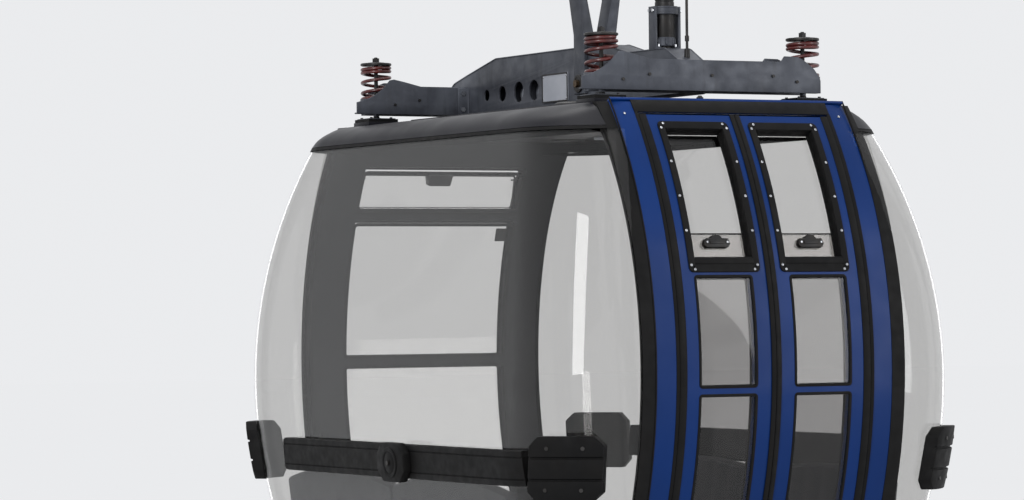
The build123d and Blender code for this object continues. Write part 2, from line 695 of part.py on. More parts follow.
# Springs, the stems through them and the pads on the roof
spring_z = (at_rise(SPRING_SEAT_RISE), at_rise(SPRING_CAP_RISE) - SPRING_CAP)
spring_height = spring_z[1] - spring_z[0]
coil_x = SPRING_OD / 2 - SPRING_WIRE / 2
sleeve = Pos(coil_x - SPRING_WIRE / 4, spring_height / 2) * Rectangle(SPRING_WIRE / 2, spring_height)
for coil in range(SPRING_COILS):
    sleeve += Pos(coil_x, (coil + 0.5) * spring_height / SPRING_COILS) * Circle(SPRING_WIRE / 2)
sleeve = revolve(Plane.XZ * sleeve, Axis.Z)
springs = []
stems = []
pads = []
cap_z = (spring_z[1], at_rise(SPRING_CAP_RISE))
for x in (-SPRING_X, SPRING_X):
    for y in (-SPRING_Y, SPRING_Y):
        springs.append(Pos(x, y, spring_z[0]) * sleeve)
        stem = post(x, y, (at_rise(PAD_THICK), cap_z[1] + STEM_NUT_HEIGHT), STEM)
        stem += post(x, y, cap_z, SPRING_OD)
        stem += extrude(Pos(x, y, cap_z[1]) * RegularPolygon(STEM_NUT / 2, 6), STEM_NUT_HEIGHT)
        stems.append(stem)
        pads.append(Pos(x, y, at_rise(PAD_THICK / 2)) * Box(PAD, PAD, PAD_THICK))
save("springs", *springs)
save("spring_stems", *stems)
save("roof_pads", *pads)

# Hanger foot: a fork that straddles the spine on a cross pin, with a tapered slot above
foot_rise = FOOT_PIN_RISE - FOOT_DEPTH / 2
neck_rise = FOOT_TOP_Z - ROOF_TOP_Z
fork_half = [
    # x, rise
    (FOOT_WIDTH / 2, foot_rise),
    (FOOT_WIDTH / 2, SLOT_LOW_RISE),
    (FOOT_TOP_WIDTH / 2, SLOT_MID_RISE),
    (FOOT_TOP_WIDTH / 2, SLOT_TOP_RISE),
    (HANGER_THICK / 2, neck_rise),
]
slot_half = [
    # x, rise
    (SLOT_LOW_WIDTH / 2, SLOT_LOW_RISE),
    (SLOT_WIDTH / 2, SLOT_MID_RISE),
    (SLOT_WIDTH / 2, SLOT_TOP_RISE - SLOT_TAPER),
    (SLOT_LOW_WIDTH / 2, SLOT_TOP_RISE),
]


def both_halves(points):
    """A closed outline in the XZ plane from the points of its +X half."""
    mirrored = [(-x, rise) for x, rise in reversed(points)]
    return Plane.XZ * make_face(Polyline([(x, at_rise(rise)) for x, rise in points + mirrored], close=True))


fork = Pos(0, FOOT_Y, 0) * extrude(both_halves(fork_half), FOOT_DEPTH / 2, both=True)
fork -= Pos(0, FOOT_Y, 0) * extrude(both_halves(slot_half), FOOT_DEPTH, both=True)
saddle = SPINE_WIDTH / 2 + FOOT_PLAY
fork -= block((-saddle, saddle), ALL_ROUND, (FLOOR_Z, at_rise(SPINE_TOP_RISE + FOOT_PLAY)))
fork -= bar_x((-FOOT_WIDTH, FOOT_WIDTH), FOOT_Y, at_rise(FOOT_PIN_RISE), FOOT_PIN)
save("hanger_foot", fork)
foot_pin = bar_x((-FOOT_WIDTH / 2, FOOT_WIDTH / 2), FOOT_Y, at_rise(FOOT_PIN_RISE), FOOT_PIN)
for side in (-1, 1):
    head_x = (side * FOOT_WIDTH / 2, side * (FOOT_WIDTH / 2 + FOOT_PIN_HEAD_THICK))
    foot_pin += bar_x(head_x, FOOT_Y, at_rise(FOOT_PIN_RISE), FOOT_PIN_HEAD)
save("hanger_foot_pin", foot_pin)

# Hanger arm: a box tube from the grip's pin, bent back over the cabin's middle
path = FilletPolyline(
    (HANGER_Y, PIN_Z),
    (HANGER_Y, KINK_Z),
    (FOOT_Y, FOOT_KINK_Z),
    (FOOT_Y, FOOT_TOP_Z),
    radius=HANGER_BEND,
)
hanger = extrude(Plane.YZ * trace(path, HANGER_WIDTH), HANGER_THICK / 2, both=True)
eye_y = (HANGER_Y - HANGER_WIDTH / 2, HANGER_Y + HANGER_WIDTH / 2)
hanger += bar_y(0.0, eye_y, PIN_Z, EYE_DIAMETER)
hanger -= bar_y(0.0, (eye_y[0] - 1.0, eye_y[1] + 1.0), PIN_Z, PIN_DIAMETER + 2 * PIN_PLAY)
save("hanger_arm", hanger)

# Sway damper between the spine and an arm of the hanger, in its bracket
shelf_top = at_rise(SPINE_SHELF_RISE)
damper_z = (at_rise(DAMPER_LOW_RISE), at_rise(DAMPER_LOW_RISE + DAMPER_HEIGHT))
damper_arm_z = (at_rise(DAMPER_ARM_RISE), at_rise(DAMPER_ARM_RISE) + DAMPER_ARM)
damper = post(0.0, DAMPER_Y, damper_z, DAMPER_OD)
damper += post(0.0, DAMPER_Y, (shelf_top, damper_z[0]), DAMPER_FOOT)
damper += post(0.0, DAMPER_Y, (damper_z[1], damper_arm_z[0]), DAMPER_ROD)
save("sway_damper", damper)
bracket_x = BRACKET_WIDTH / 2
bracket_z = (shelf_top, shelf_top + BRACKET_HEIGHT)
bracket_y = (DAMPER_Y - BRACKET_DEPTH / 2, DAMPER_Y + BRACKET_DEPTH / 2)
bracket = post(0.0, DAMPER_Y, (bracket_z[1] - COLLAR_HEIGHT, bracket_z[1]), COLLAR_OD)
for side in (-1, 1):
    bracket += block((side * (bracket_x - BRACKET_PLATE), side * bracket_x), bracket_y, bracket_z)
    flange_x = (side * (bracket_x - BRACKET_PLATE), side * SPINE_WIDTH / 4)
    bracket += block(flange_x, bracket_y, (shelf_top, shelf_top + BRACKET_PLATE))
bracket -= post(0.0, DAMPER_Y, bracket_z, DAMPER_OD + 2 * PIN_PLAY)
save("damper_bracket", bracket)
arm_y = (FOOT_Y - HANGER_WIDTH / 2, CABLE_Y - CABLE_EYE)
save("damper_arm", block((-DAMPER_ARM / 2, DAMPER_ARM / 2), arm_y, damper_arm_z))

# Door cable: a taut pull cable from the damper arm down to the spine
cable_share = (CABLE_Y + spine_end) / (SPINE_SHELF_Y + spine_end)
cable_foot = at_rise(beam_top + cable_share * (SPINE_SHELF_RISE - beam_top))
cable = post(0.0, CABLE_Y, (cable_foot, damper_arm_z[0]), CABLE_OD)
cable += post(0.0, CABLE_Y, (cable_foot - CABLE_OD, cable_foot + CABLE_EYE), 2 * CABLE_OD)
save("door_cable", cable - spine_hull)

# Grip body: a block beside the rope that carries the rollers and the hanger's pin
grip_x = (-GRIP_LENGTH / 2, GRIP_LENGTH / 2)
grip_y = (GRIP_Y, GRIP_Y + GRIP_DEPTH)
grip = rounded(block(grip_x, grip_y, (GRIP_LOW, GRIP_HIGH)), Axis.Y, GRIP_EDGE)
plate_y = (ROLLER_GAP + GRIP_Y + ROLLER_WIDTH, ROLLER_GAP + GRIP_Y + ROLLER_WIDTH + ROLLER_PLATE)
for side in (-1, 1):
    ear = block(
        (side * (ROLLER_X - AXLE_CAP), side * (ROLLER_X + AXLE_CAP)),
        plate_y,
        (GRIP_HIGH, ROLLER_Z + AXLE_CAP),
    )
    grip += chamfer(ear.edges().filter_by(Axis.Y).sort_by(Axis.Z)[-2:], AXLE_CAP / 2)
tongue_z = (JAW_SPLIT / 2, ROPE_DIAMETER / 2 + JAW_WALL)
slot_x = TONGUE_HALF + GRIP_SLOT_PLAY
grip -= block((-slot_x, slot_x), ALL_ROUND, (tongue_z[0] - GRIP_SLOT_PLAY, tongue_z[1] + GRIP_SLOT_PLAY))
save("grip_body", grip)

# Jaws: two half rings round the rope, each with its own arm into the body
jaw_x = (-JAW_LENGTH / 2, JAW_LENGTH / 2)
ring = bar_x(jaw_x, 0.0, 0.0, ROPE_DIAMETER + 2 * JAW_WALL)
bore = bar_x((-JAW_LENGTH, JAW_LENGTH), 0.0, 0.0, ROPE_DIAMETER)
fixed_jaw = ring & block(ALL_ROUND, ALL_ROUND, (-JAW_SPLIT / 2, -BIG))
fixed_jaw += block(jaw_x, (0.0, GRIP_Y), (-JAW_SPLIT / 2, -ROPE_DIAMETER / 2 - JAW_WALL))
moving_jaw = ring & block(ALL_ROUND, ALL_ROUND, (JAW_SPLIT / 2, BIG))
moving_jaw += block(jaw_x, (0.0, GRIP_Y - GRIP_SLOT_PLAY), tongue_z)
moving_jaw += block((-TONGUE_HALF, TONGUE_HALF), (0.0, TONGUE_REACH), tongue_z)
save("jaw_fixed", fixed_jaw - bore)
save("jaw_moving", moving_jaw - bore)

# Running rollers: a hub with a tyre, each on its own axle
axles = []
for side, name in ((-1, "left"), (1, "right")):
    x = side * ROLLER_X
    roller_y = (GRIP_Y, GRIP_Y + ROLLER_WIDTH)
    wheel = bar_y(x, roller_y, ROLLER_Z, ROLLER_OD)
    wheel = fillet(wheel.edges(), ROLLER_TYRE / 3)
    wheel -= bar_y(x, (roller_y[0] - 1.0, roller_y[1] + 1.0), ROLLER_Z, ROLLER_AXLE + 2 * PIN_FIT)
    save("running_roller_" + name, wheel)
    axle = bar_y(x, (roller_y[0] - ROLLER_GAP, plate_y[0]), ROLLER_Z, ROLLER_AXLE)
    cap_y = (roller_y[0] - ROLLER_GAP - AXLE_CAP_THICK, roller_y[0] - ROLLER_GAP)
    axles.append(axle + bar_y(x, cap_y, ROLLER_Z, AXLE_CAP))
save("roller_axles", *axles)

# Hanger pin with its washer and head
pin_y = (grip_y[1], eye_y[1] + PIN_HEAD_THICK)
hanger_pin = bar_y(0.0, pin_y, PIN_Z, PIN_DIAMETER)
hanger_pin += bar_y(0.0, (grip_y[1], eye_y[0] - PIN_FIT), PIN_Z, PIN_HEAD)
hanger_pin += bar_y(0.0, (eye_y[1] + PIN_FIT, pin_y[1]), PIN_Z, PIN_HEAD)
save("hanger_pin", hanger_pin)

# Closing lever with its wheel, and the two spring pots
lever_y = (TONGUE_REACH, TONGUE_REACH + LEVER_LENGTH)
lever_z = (LEVER_Z - LEVER_THICK / 2, LEVER_Z + LEVER_THICK / 2)
lever = block((-LEVER_WIDTH / 2, LEVER_WIDTH / 2), lever_y, lever_z)
lever += bar_x((-LEVER_WIDTH / 2, LEVER_WIDTH / 2), lever_y[1], LEVER_Z, LEVER_WHEEL)
save("closing_lever", lever)
pots = []
for side in (-1, 1):
    pot_y = grip_y[1] + SPRING_POT / 2
    pot = post(side * SPRING_POT_X, pot_y, (SPRING_POT_LOW, SPRING_POT_LOW + SPRING_POT_LENGTH), SPRING_POT)
    pots.append(fillet(pot.edges(), SPRING_POT / 12))
save("spring_pots", *pots)
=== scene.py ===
"""The looks of a ten-seat cable car cabin with its hanger and grip, in metres.

The origin is the rope's axis in the grip. +X runs along the rope, -Y is the door side, +Z is up.
"""

from __future__ import annotations

import json
import logging
import math
from collections.abc import Callable
from dataclasses import dataclass
from enum import Enum

import bmesh
import bpy
from mathutils import Matrix, Vector


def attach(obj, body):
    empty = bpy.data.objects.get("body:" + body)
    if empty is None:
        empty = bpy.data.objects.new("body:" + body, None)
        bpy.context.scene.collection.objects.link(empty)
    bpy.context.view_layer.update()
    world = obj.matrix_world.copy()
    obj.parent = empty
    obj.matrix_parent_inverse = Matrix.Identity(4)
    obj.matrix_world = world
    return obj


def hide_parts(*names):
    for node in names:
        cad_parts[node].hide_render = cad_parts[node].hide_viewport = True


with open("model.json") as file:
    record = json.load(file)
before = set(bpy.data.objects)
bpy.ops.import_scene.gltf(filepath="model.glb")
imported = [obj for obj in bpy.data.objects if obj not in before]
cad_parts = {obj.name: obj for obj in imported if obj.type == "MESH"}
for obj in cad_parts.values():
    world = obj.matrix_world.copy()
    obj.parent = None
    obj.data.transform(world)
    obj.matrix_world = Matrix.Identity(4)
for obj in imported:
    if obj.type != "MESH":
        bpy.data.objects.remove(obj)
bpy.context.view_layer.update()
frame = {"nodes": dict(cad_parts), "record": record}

log = logging.getLogger("cabin")
Rgb = tuple[float, float, float]
Pair = tuple[float, float]
Four = tuple[float, float, float, float]
Spot = tuple[Vector, Vector]
Place = Callable[[float, float, float], Vector]

CABIN = "cabin"
GRIP = "grip"
ROOF_Z = -1.965
SIDES = ((-1, "left"), (1, "right"))
SIGNS = (-1, 1)
UP = Vector((0.0, 0.0, 1.0))
TO_BACK = Vector((0.0, 1.0, 0.0))
TO_RIGHT = Vector((1.0, 0.0, 0.0))
SHARP_ANGLE = math.radians(35)
MERGE_DISTANCE = 1e-6
QUARTER_TURN = math.pi / 2
FULL_TURN = 2 * math.pi
PALE_LIGHT = (0.94, 0.95, 0.97, 1.0)
SLOTS = {part["node"]: part["material_slot"] for part in frame["record"]["subparts"]}


def add_node(tree: bpy.types.NodeTree, kind: str, inputs: dict | None = None, **settings: object) -> bpy.types.Node:
    """Add a node to a tree.

    Args:
        tree: The node tree.
        kind: Blender's name of the node's type.
        inputs: Values or sockets for its inputs, by name or number.
        settings: Values for the node's own properties.

    Returns:
        The new node.
    """
    made = tree.nodes.new(kind)
    for key, value in settings.items():
        setattr(made, key, value)
    for key, value in (inputs or {}).items():
        if isinstance(value, bpy.types.NodeSocket):
            tree.links.new(value, made.inputs[key])
        else:
            made.inputs[key].default_value = value
    return made


def seen_ray(tree: bpy.types.NodeTree) -> bpy.types.NodeSocket:
    """Whether a ray shows the surroundings: straight, through glass or in a reflection."""
    rays = add_node(tree, "ShaderNodeLightPath").outputs
    through = {0: rays["Is Camera Ray"], 1: rays["Is Transmission Ray"]}
    direct = add_node(tree, "ShaderNodeMath", through, operation="MAXIMUM").outputs[0]
    return add_node(tree, "ShaderNodeMath", {0: direct, 1: rays["Is Glossy Ray"]}, operation="MAXIMUM").outputs[0]


def smooth_step(share: float) -> float:
    """A share kept between 0 and 1, eased in and out."""
    share = min(1.0, max(0.0, share))
    return share * share * (3 - 2 * share)


class Graph:
    """A short way to write one material's nodes."""

    def __init__(self, name: str) -> None:
        """Start an empty node tree.

        Args:
            name: The material's name.
        """
        self.material = bpy.data.materials.new(name)
        self.material.use_nodes = True
        self.tree = self.material.node_tree
        self.tree.nodes.clear()
        self.output = self.tree.nodes.new("ShaderNodeOutputMaterial")
        self.place = self.node("ShaderNodeTexCoord").outputs["Object"]

    def node(self, kind: str, inputs: dict | None = None, **settings: object) -> bpy.types.Node:
        """Add a node to this material, as add_node does."""
        return add_node(self.tree, kind, inputs, **settings)

    def noise(self, scale: float, detail: float = 4.0, stretch: Rgb = (1.0, 1.0, 1.0)) -> bpy.types.NodeSocket:
        """Noise with a number of patches a metre, stretched along the axes."""
        spread = self.node("ShaderNodeMapping", {"Vector": self.place, "Scale": stretch})
        made = self.node("ShaderNodeTexNoise", {"Vector": spread.outputs[0], "Scale": scale, "Detail": detail})
        return made.outputs["Fac"]

    def span(self, value: bpy.types.NodeSocket, low: float, high: float, to_low: float = 0.0,
             to_high: float = 1.0) -> bpy.types.NodeSocket:
        """A value's range from low to high, made into another range and kept inside it."""
        ranges = {"Value": value, "From Min": low, "From Max": high, "To Min": to_low, "To Max": to_high}
        return self.node("ShaderNodeMapRange", ranges).outputs["Result"]

    def mix(self, share: bpy.types.NodeSocket, first: object, second: object) -> bpy.types.NodeSocket:
        """Two colours mixed by a share."""
        blend = self.node("ShaderNodeMix", {"Factor": share}, data_type="RGBA")
        for socket, value in ((blend.inputs[6], first), (blend.inputs[7], second)):
            if isinstance(value, bpy.types.NodeSocket):
                self.tree.links.new(value, socket)
            else:
                socket.default_value = (*value, 1.0)
        return blend.outputs[2]

    def times(self, first: bpy.types.NodeSocket, second: object) -> bpy.types.NodeSocket:
        """Two values multiplied."""
        return self.node("ShaderNodeMath", {0: first, 1: second}, operation="MULTIPLY").outputs[0]

    def upward(self) -> bpy.types.NodeSocket:
        """How far the surface faces up, from 0 to 1."""
        normal = self.node("ShaderNodeNewGeometry").outputs["Normal"]
        height = self.node("ShaderNodeSeparateXYZ", {0: normal}).outputs["Z"]
        return self.span(height, 0.4, 0.95)

    def bump(self, height: bpy.types.NodeSocket, depth: float,
             below: bpy.types.NodeSocket | None) -> bpy.types.NodeSocket:
        """A bump of a depth in metres, over the normal below where that is given."""
        inputs = {"Height": height, "Distance": depth, "Strength": 0.5}
        if below is not None:
            inputs["Normal"] = below
        return self.node("ShaderNodeBump", inputs).outputs[0]

    def close(self, shader: bpy.types.NodeSocket) -> bpy.types.Material:
        """Join the last shader to the output."""
        self.tree.links.new(shader, self.output.inputs["Surface"])
        return self.material


@dataclass(frozen=True)
class Finish:
    """A solid surface: two colours in patches, a fine grain, dust on top and a varied gloss."""

    name: str
    colour: Rgb
    shade: Rgb
    patches: float = 3.0
    metal: float = 0.0
    gloss: Pair = (0.35, 0.5)
    grain: float = 400.0
    relief: float = 0.0002
    coat: float = 0.0
    shine: float = 0.5
    edge: float = 0.0
    dust: float = 0.25
    stretch: Rgb = (1.0, 1.0, 1.0)
    dust_colour: Rgb = (0.19, 0.175, 0.16)

    def tint(self, graph: Graph) -> bpy.types.NodeSocket:
        """The surface's own colour before dust."""
        share = graph.span(graph.noise(self.patches, 8.0, self.stretch), 0.38, 0.64)
        return graph.mix(share, self.colour, self.shade)

    def relieved(self, graph: Graph) -> bpy.types.NodeSocket:
        """The surface's fine bump, over rounded edges where the finish has them."""
        soft = graph.node("ShaderNodeBevel", {"Radius": self.edge}, samples=4).outputs[0] if self.edge else None
        return graph.bump(graph.noise(self.grain, 3.0, self.stretch), self.relief, soft)

    def build(self) -> bpy.types.Material:
        """Make the material."""
        graph = Graph(self.name)
        settled = graph.times(graph.upward(), graph.span(graph.noise(14.0, 6.0), 0.35, 0.75, 0.0, self.dust))
        colour = graph.mix(settled, self.tint(graph), self.dust_colour)
        rough = graph.span(graph.noise(self.patches * 4.0, 6.0), 0.3, 0.7, *self.gloss)
        shader = graph.node("ShaderNodeBsdfPrincipled", {
            "Base Color": colour,
            "Metallic": self.metal,
            "Roughness": rough,
            "Specular IOR Level": self.shine,
            "Coat Weight": self.coat,
            "Coat Roughness": 0.12,
        })
        if self.relief:
            graph.tree.links.new(self.relieved(graph), shader.inputs["Normal"])
        return graph.close(shader.outputs[0])


@dataclass(frozen=True)
class Zinc(Finish):
    """Hot-dip galvanised steel: crystal spangle, pale bloom and dark runs."""

    spangle: float = 55.0
    bloom: Rgb = (0.15, 0.162, 0.19)
    run: Rgb = (0.028, 0.029, 0.034)

    def tint(self, graph: Graph) -> bpy.types.NodeSocket:
        """Dark and pale patches with the spangle's cells over them."""
        base = super().tint(graph)
        cells = graph.node("ShaderNodeTexVoronoi", {"Vector": graph.place, "Scale": self.spangle})
        flake = graph.node("ShaderNodeSeparateColor", {0: cells.outputs["Color"]}).outputs[0]
        base = graph.mix(graph.span(flake, 0.0, 1.0, 0.0, 0.1), base, self.bloom)
        patch = graph.span(graph.noise(3.6, 9.0), 0.55, 0.68, 0.0, 0.55)
        base = graph.mix(patch, base, self.bloom)
        runs = graph.span(graph.noise(9.0, 6.0, (4.0, 4.0, 0.7)), 0.55, 0.75, 0.0, 0.5)
        return graph.mix(runs, base, self.run)


@dataclass(frozen=True)
class Acrylic:
    """Hard-coated glazing, clear or tinted."""

    name: str
    colour: Rgb = (0.76, 0.755, 0.745)

    def build(self) -> bpy.types.Material:
        """Make the material, a thin sheet that bends nothing and lets lamps through to what is behind it."""
        graph = Graph(self.name)
        glass = graph.node("ShaderNodeBsdfPrincipled", {
            "Base Color": (*self.colour, 1.0),
            "Roughness": 0.012,
            "IOR": 1.02,
            "Transmission Weight": 1.0,
            "Coat Weight": 0.55,
            "Coat Roughness": 0.02,
        })
        through = graph.node("ShaderNodeBsdfTransparent", {"Color": (*self.colour, 1.0)})
        ray = graph.node("ShaderNodeLightPath").outputs["Is Shadow Ray"]
        both = graph.node("ShaderNodeMixShader", {0: ray, 1: glass.outputs[0], 2: through.outputs[0]})
        return graph.close(both.outputs[0])


FINISHES: dict[str, Finish | Acrylic] = {
    "blue_paint": Finish("blue_powder_coat", (0.001, 0.03, 0.165), (0.0008, 0.024, 0.132), 2.5,
                         gloss=(0.32, 0.46), grain=500.0, relief=0.00002, coat=0.04, shine=0.16, dust=0.06),
    "anthracite_paint": Finish("anthracite_powder_coat", (0.006, 0.0063, 0.008), (0.009, 0.0094, 0.0112), 3.0,
                               gloss=(0.42, 0.56), relief=0.0, shine=0.18, dust=0.04),
    "roof_grey": Finish("roof_shell_gloss", (0.0065, 0.0067, 0.01), (0.0095, 0.0095, 0.0135), 1.6,
                        gloss=(0.36, 0.48), grain=12.0, relief=0.0002, shine=0.16, dust=0.04),
    "black_rubber": Finish("black_rubber", (0.004, 0.004, 0.0043), (0.0072, 0.0068, 0.0068), 8.0,
                           gloss=(0.52, 0.72), relief=0.0, shine=0.14, dust=0.04),
    "clear_pane": Acrylic("clear_acrylic"),
    "tinted_pane": Acrylic("tinted_acrylic", (0.5, 0.48, 0.465)),
    "smoked_pane": Acrylic("smoked_acrylic", (0.36, 0.35, 0.345)),
    "aged_brass": Finish("aged_brass", (0.15, 0.095, 0.045), (0.06, 0.042, 0.028), 40.0, metal=0.8,
                         gloss=(0.35, 0.55), grain=350.0, relief=0.0002, dust=0.1),
    "pan_alloy": Finish("brushed_alloy", (0.3, 0.31, 0.33), (0.22, 0.23, 0.25), 4.0, metal=0.9,
                        gloss=(0.32, 0.5), grain=300.0, relief=0.0001, stretch=(1.0, 0.05, 1.0)),
    "seat_shell": Finish("seat_shell", (0.016, 0.017, 0.021), (0.024, 0.025, 0.029), 5.0,
                         gloss=(0.45, 0.62), grain=300.0, relief=0.00003, shine=0.3, dust=0.08),
    "zinc": Zinc("galvanised_steel", (0.058, 0.064, 0.08), (0.042, 0.046, 0.058), 5.0, metal=0.3,
                 gloss=(0.38, 0.6), grain=220.0, relief=0.0003, shine=0.4, edge=0.0018, dust=0.08),
    "spring_red": Finish("spring_red_coat", (0.105, 0.01, 0.008), (0.05, 0.006, 0.006), 30.0,
                         gloss=(0.28, 0.45), grain=500.0, relief=0.0002, coat=0.2, dust=0.1),
    "dark_steel": Finish("dark_steel", (0.01, 0.01, 0.011), (0.02, 0.017, 0.015), 18.0, metal=0.4,
                         gloss=(0.36, 0.58), grain=350.0, dust=0.12),
    "bright_steel": Finish("bright_steel", (0.46, 0.47, 0.49), (0.33, 0.34, 0.36), 20.0, metal=1.0,
                           gloss=(0.2, 0.38), grain=250.0, relief=0.0001, dust=0.1),
    "grip_paint": Finish("cast_grey_paint", (0.06, 0.064, 0.072), (0.042, 0.045, 0.052), 7.0, metal=0.2,
                         gloss=(0.38, 0.58), grain=260.0, relief=0.0005, edge=0.003),
    "roller_nylon": Finish("roller_nylon", (0.022, 0.022, 0.024), (0.036, 0.034, 0.032), 12.0,
                           gloss=(0.4, 0.6), grain=300.0),
    "plate_white": Finish("blank_plate", (0.42, 0.44, 0.49), (0.36, 0.38, 0.43), 9.0,
                          gloss=(0.3, 0.45), grain=500.0, relief=0.0001, dust=0.12),
}
MATERIALS: dict[str, bpy.types.Material] = {}


def material(slot: str) -> bpy.types.Material:
    """The material of a slot, made when it is first asked for."""
    if slot not in MATERIALS:
        MATERIALS[slot] = FINISHES[slot].build()
    return MATERIALS[slot]


def placed_in_scene(name: str, data: bpy.types.ID) -> bpy.types.Object:
    """Make an object of a mesh, lamp or camera and link it to the scene."""
    made = bpy.data.objects.new(name, data)
    bpy.context.scene.collection.objects.link(made)
    return made


def shaded(mesh: bpy.types.Mesh) -> bpy.types.Mesh:
    """Shade a mesh smooth, with its sharp edges kept."""
    mesh.shade_smooth()
    mesh.set_sharp_from_angle(angle=SHARP_ANGLE)
    return mesh


def mesh_object(name: str, points: list, faces: list, smooth: bool = True) -> bpy.types.Object:
    """Make an object from points and faces, with its faces turned outwards.

    Args:
        name: The object's name.
        points: The vertices, in metres.
        faces: Lists of vertex numbers.
        smooth: Whether the faces are shaded smooth, with sharp edges kept.

    Returns:
        The new object, in the scene.
    """
    mesh = bpy.data.meshes.new(name)
    mesh.from_pydata([tuple(point) for point in points], [], faces)
    tidy = bmesh.new()
    tidy.from_mesh(mesh)
    bmesh.ops.remove_doubles(tidy, verts=tidy.verts, dist=MERGE_DISTANCE)
    bmesh.ops.recalc_face_normals(tidy, faces=tidy.faces)
    tidy.to_mesh(mesh)
    tidy.free()
    return placed_in_scene(name, shaded(mesh) if smooth else mesh)


def bevelled(piece: bpy.types.Object, width: float, segments: int = 2) -> bpy.types.Object:
    """Round a piece's sharp edges for good, and give it its final mesh."""
    step = piece.modifiers.new("edge", "BEVEL")
    step.width = width
    step.segments = segments
    step.limit_method = "ANGLE"
    step.angle_limit = SHARP_ANGLE
    return applied(piece)


def applied(piece: bpy.types.Object) -> bpy.types.Object:
    """Turn a piece's modifiers into its mesh."""
    graph = bpy.context.evaluated_depsgraph_get()
    mesh = bpy.data.meshes.new_from_object(piece.evaluated_get(graph), depsgraph=graph)
    piece.modifiers.clear()
    piece.data = shaded(mesh)
    return piece


def pierced(piece: bpy.types.Object, cutter: bpy.types.Object) -> bpy.types.Object:
    """Cut one shape out of a piece, and drop the cutter."""
    step = piece.modifiers.new("hole", "BOOLEAN")
    step.operation = "DIFFERENCE"
    step.solver = "EXACT"
    step.object = cutter
    applied(piece)
    bpy.data.objects.remove(cutter)
    return piece


def bars(name: str, start: Vector, step: Vector, count: int, size: Vector, body: str, slot: str) -> bpy.types.Object:
    """Repeat one bar in a row, by Geometry Nodes.

    Args:
        name: The object's name.
        start: The middle of the first bar.
        step: The way from one bar to the next.
        count: How many bars there are.
        size: A bar's length along each axis.
        body: The body that carries them.
        slot: The record's slot for their finish.

    Returns:
        One plain mesh with every bar.
    """
    piece = placed_in_scene(name, bpy.data.meshes.new(name))
    tree = bpy.data.node_groups.new(name + "_row", "GeometryNodeTree")
    sockets = {label: tree.interface.new_socket(label, in_out="INPUT", socket_type="NodeSocketVector")
               for label in ("Start", "Step", "Bar size")}
    tree.interface.new_socket("Bars", in_out="OUTPUT", socket_type="NodeSocketGeometry")
    given = add_node(tree, "NodeGroupInput").outputs
    row = add_node(tree, "GeometryNodeMeshLine", {
        "Count": count, "Start Location": given["Start"], "Offset": given["Step"],
    })
    cube = add_node(tree, "GeometryNodeMeshCube", {"Size": given["Bar size"]})
    instances = {"Points": row.outputs["Mesh"], "Instance": cube.outputs["Mesh"]}
    dress(tree, add_node(tree, "GeometryNodeInstanceOnPoints", instances), slot)
    run = piece.modifiers.new("row", "NODES")
    run.node_group = tree
    for label, value in (("Start", start), ("Step", step), ("Bar size", size)):
        run[sockets[label].identifier] = value
    return fitted(applied(piece), body, slot)


def dress(tree: bpy.types.NodeTree, placed: bpy.types.Node, slot: str) -> None:
    """End a tree: make its instances real and give them a slot's material."""
    real = add_node(tree, "GeometryNodeRealizeInstances", {0: placed.outputs[0]})
    dressed = add_node(tree, "GeometryNodeSetMaterial", {"Geometry": real.outputs[0], "Material": material(slot)})
    add_node(tree, "NodeGroupOutput", {0: dressed.outputs[0]})


def joined(name: str, pieces: list[bpy.types.Object]) -> bpy.types.Object:
    """Put several objects' meshes into one object."""
    mesh = bpy.data.meshes.new(name)
    whole = bmesh.new()
    for piece in pieces:
        whole.from_mesh(piece.data)
        bpy.data.objects.remove(piece)
    whole.to_mesh(mesh)
    whole.free()
    return placed_in_scene(name, shaded(mesh))


def fitted(piece: bpy.types.Object, body: str, slot: str, *nodes: str, look: str = "") -> bpy.types.Object:
    """Dress a piece, let it ride on its body and hide the solids that it stands for.

    Args:
        piece: The finished object.
        body: The body that it moves with.
        slot: The record's slot for its finish.
        nodes: The solids that it replaces, if any.
        look: The finish to show, where it is not the slot's own.

    Returns:
        The piece.
    """
    piece.data.materials.clear()
    piece.data.materials.append(material(look or slot))
    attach(piece, body)
    if nodes:
        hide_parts(*nodes)
    log.info("%s rides on %s in %s, %d faces", piece.name, body, slot, len(piece.data.polygons))
    return piece


def group(name: str, pieces: list[bpy.types.Object], body: str, slot: str, *nodes: str,
          look: str = "") -> bpy.types.Object:
    """Join several objects into one piece and fit it, as fitted does."""
    return fitted(joined(name, pieces), body, slot, *nodes, look=look)


def softened(name: str, node: str, width: float, segments: int = 2) -> bpy.types.Object:
    """A merged copy of a solid with its edges rounded.

    Args:
        name: The new object's name.
        node: The solid's node.
        width: How wide the rounding is.
        segments: How many faces it has.

    Returns:
        The rounded copy.
    """
    mesh = bpy.data.meshes.new(name)
    merged = bmesh.new()
    merged.from_mesh(frame["nodes"][node].data)
    bmesh.ops.remove_doubles(merged, verts=merged.verts, dist=MERGE_DISTANCE)
    bmesh.ops.dissolve_limit(merged, angle_limit=0.01, verts=merged.verts, edges=merged.edges)
    merged.to_mesh(mesh)
    merged.free()
    return bevelled(placed_in_scene(name, mesh), width, segments)


def swept(name: str, stations: list[list], closed: bool = True, ring: bool = False) -> bpy.types.Object:
    """Skin a row of like outlines.

    Args:
        name: The object's name.
        stations: One list of points for each outline, in order.
        closed: Whether each outline is a closed loop with end caps.
        ring: Whether the last outline joins the first.

    Returns:
        The object.
    """
    size = len(stations[0])
    points = [point for station in stations for point in station]
    faces = []
    for row in range(len(stations) - (0 if ring else 1)):
        here = row * size
        there = ((row + 1) % len(stations)) * size
        for i in range(size if closed else size - 1):
            j = (i + 1) % size
            faces.append([here + i, here + j, there + j, there + i])
    if closed and not ring:
        faces.append(list(range(size)))
        faces.append(list(range(len(points) - size, len(points))))
    return mesh_object(name, points, faces)


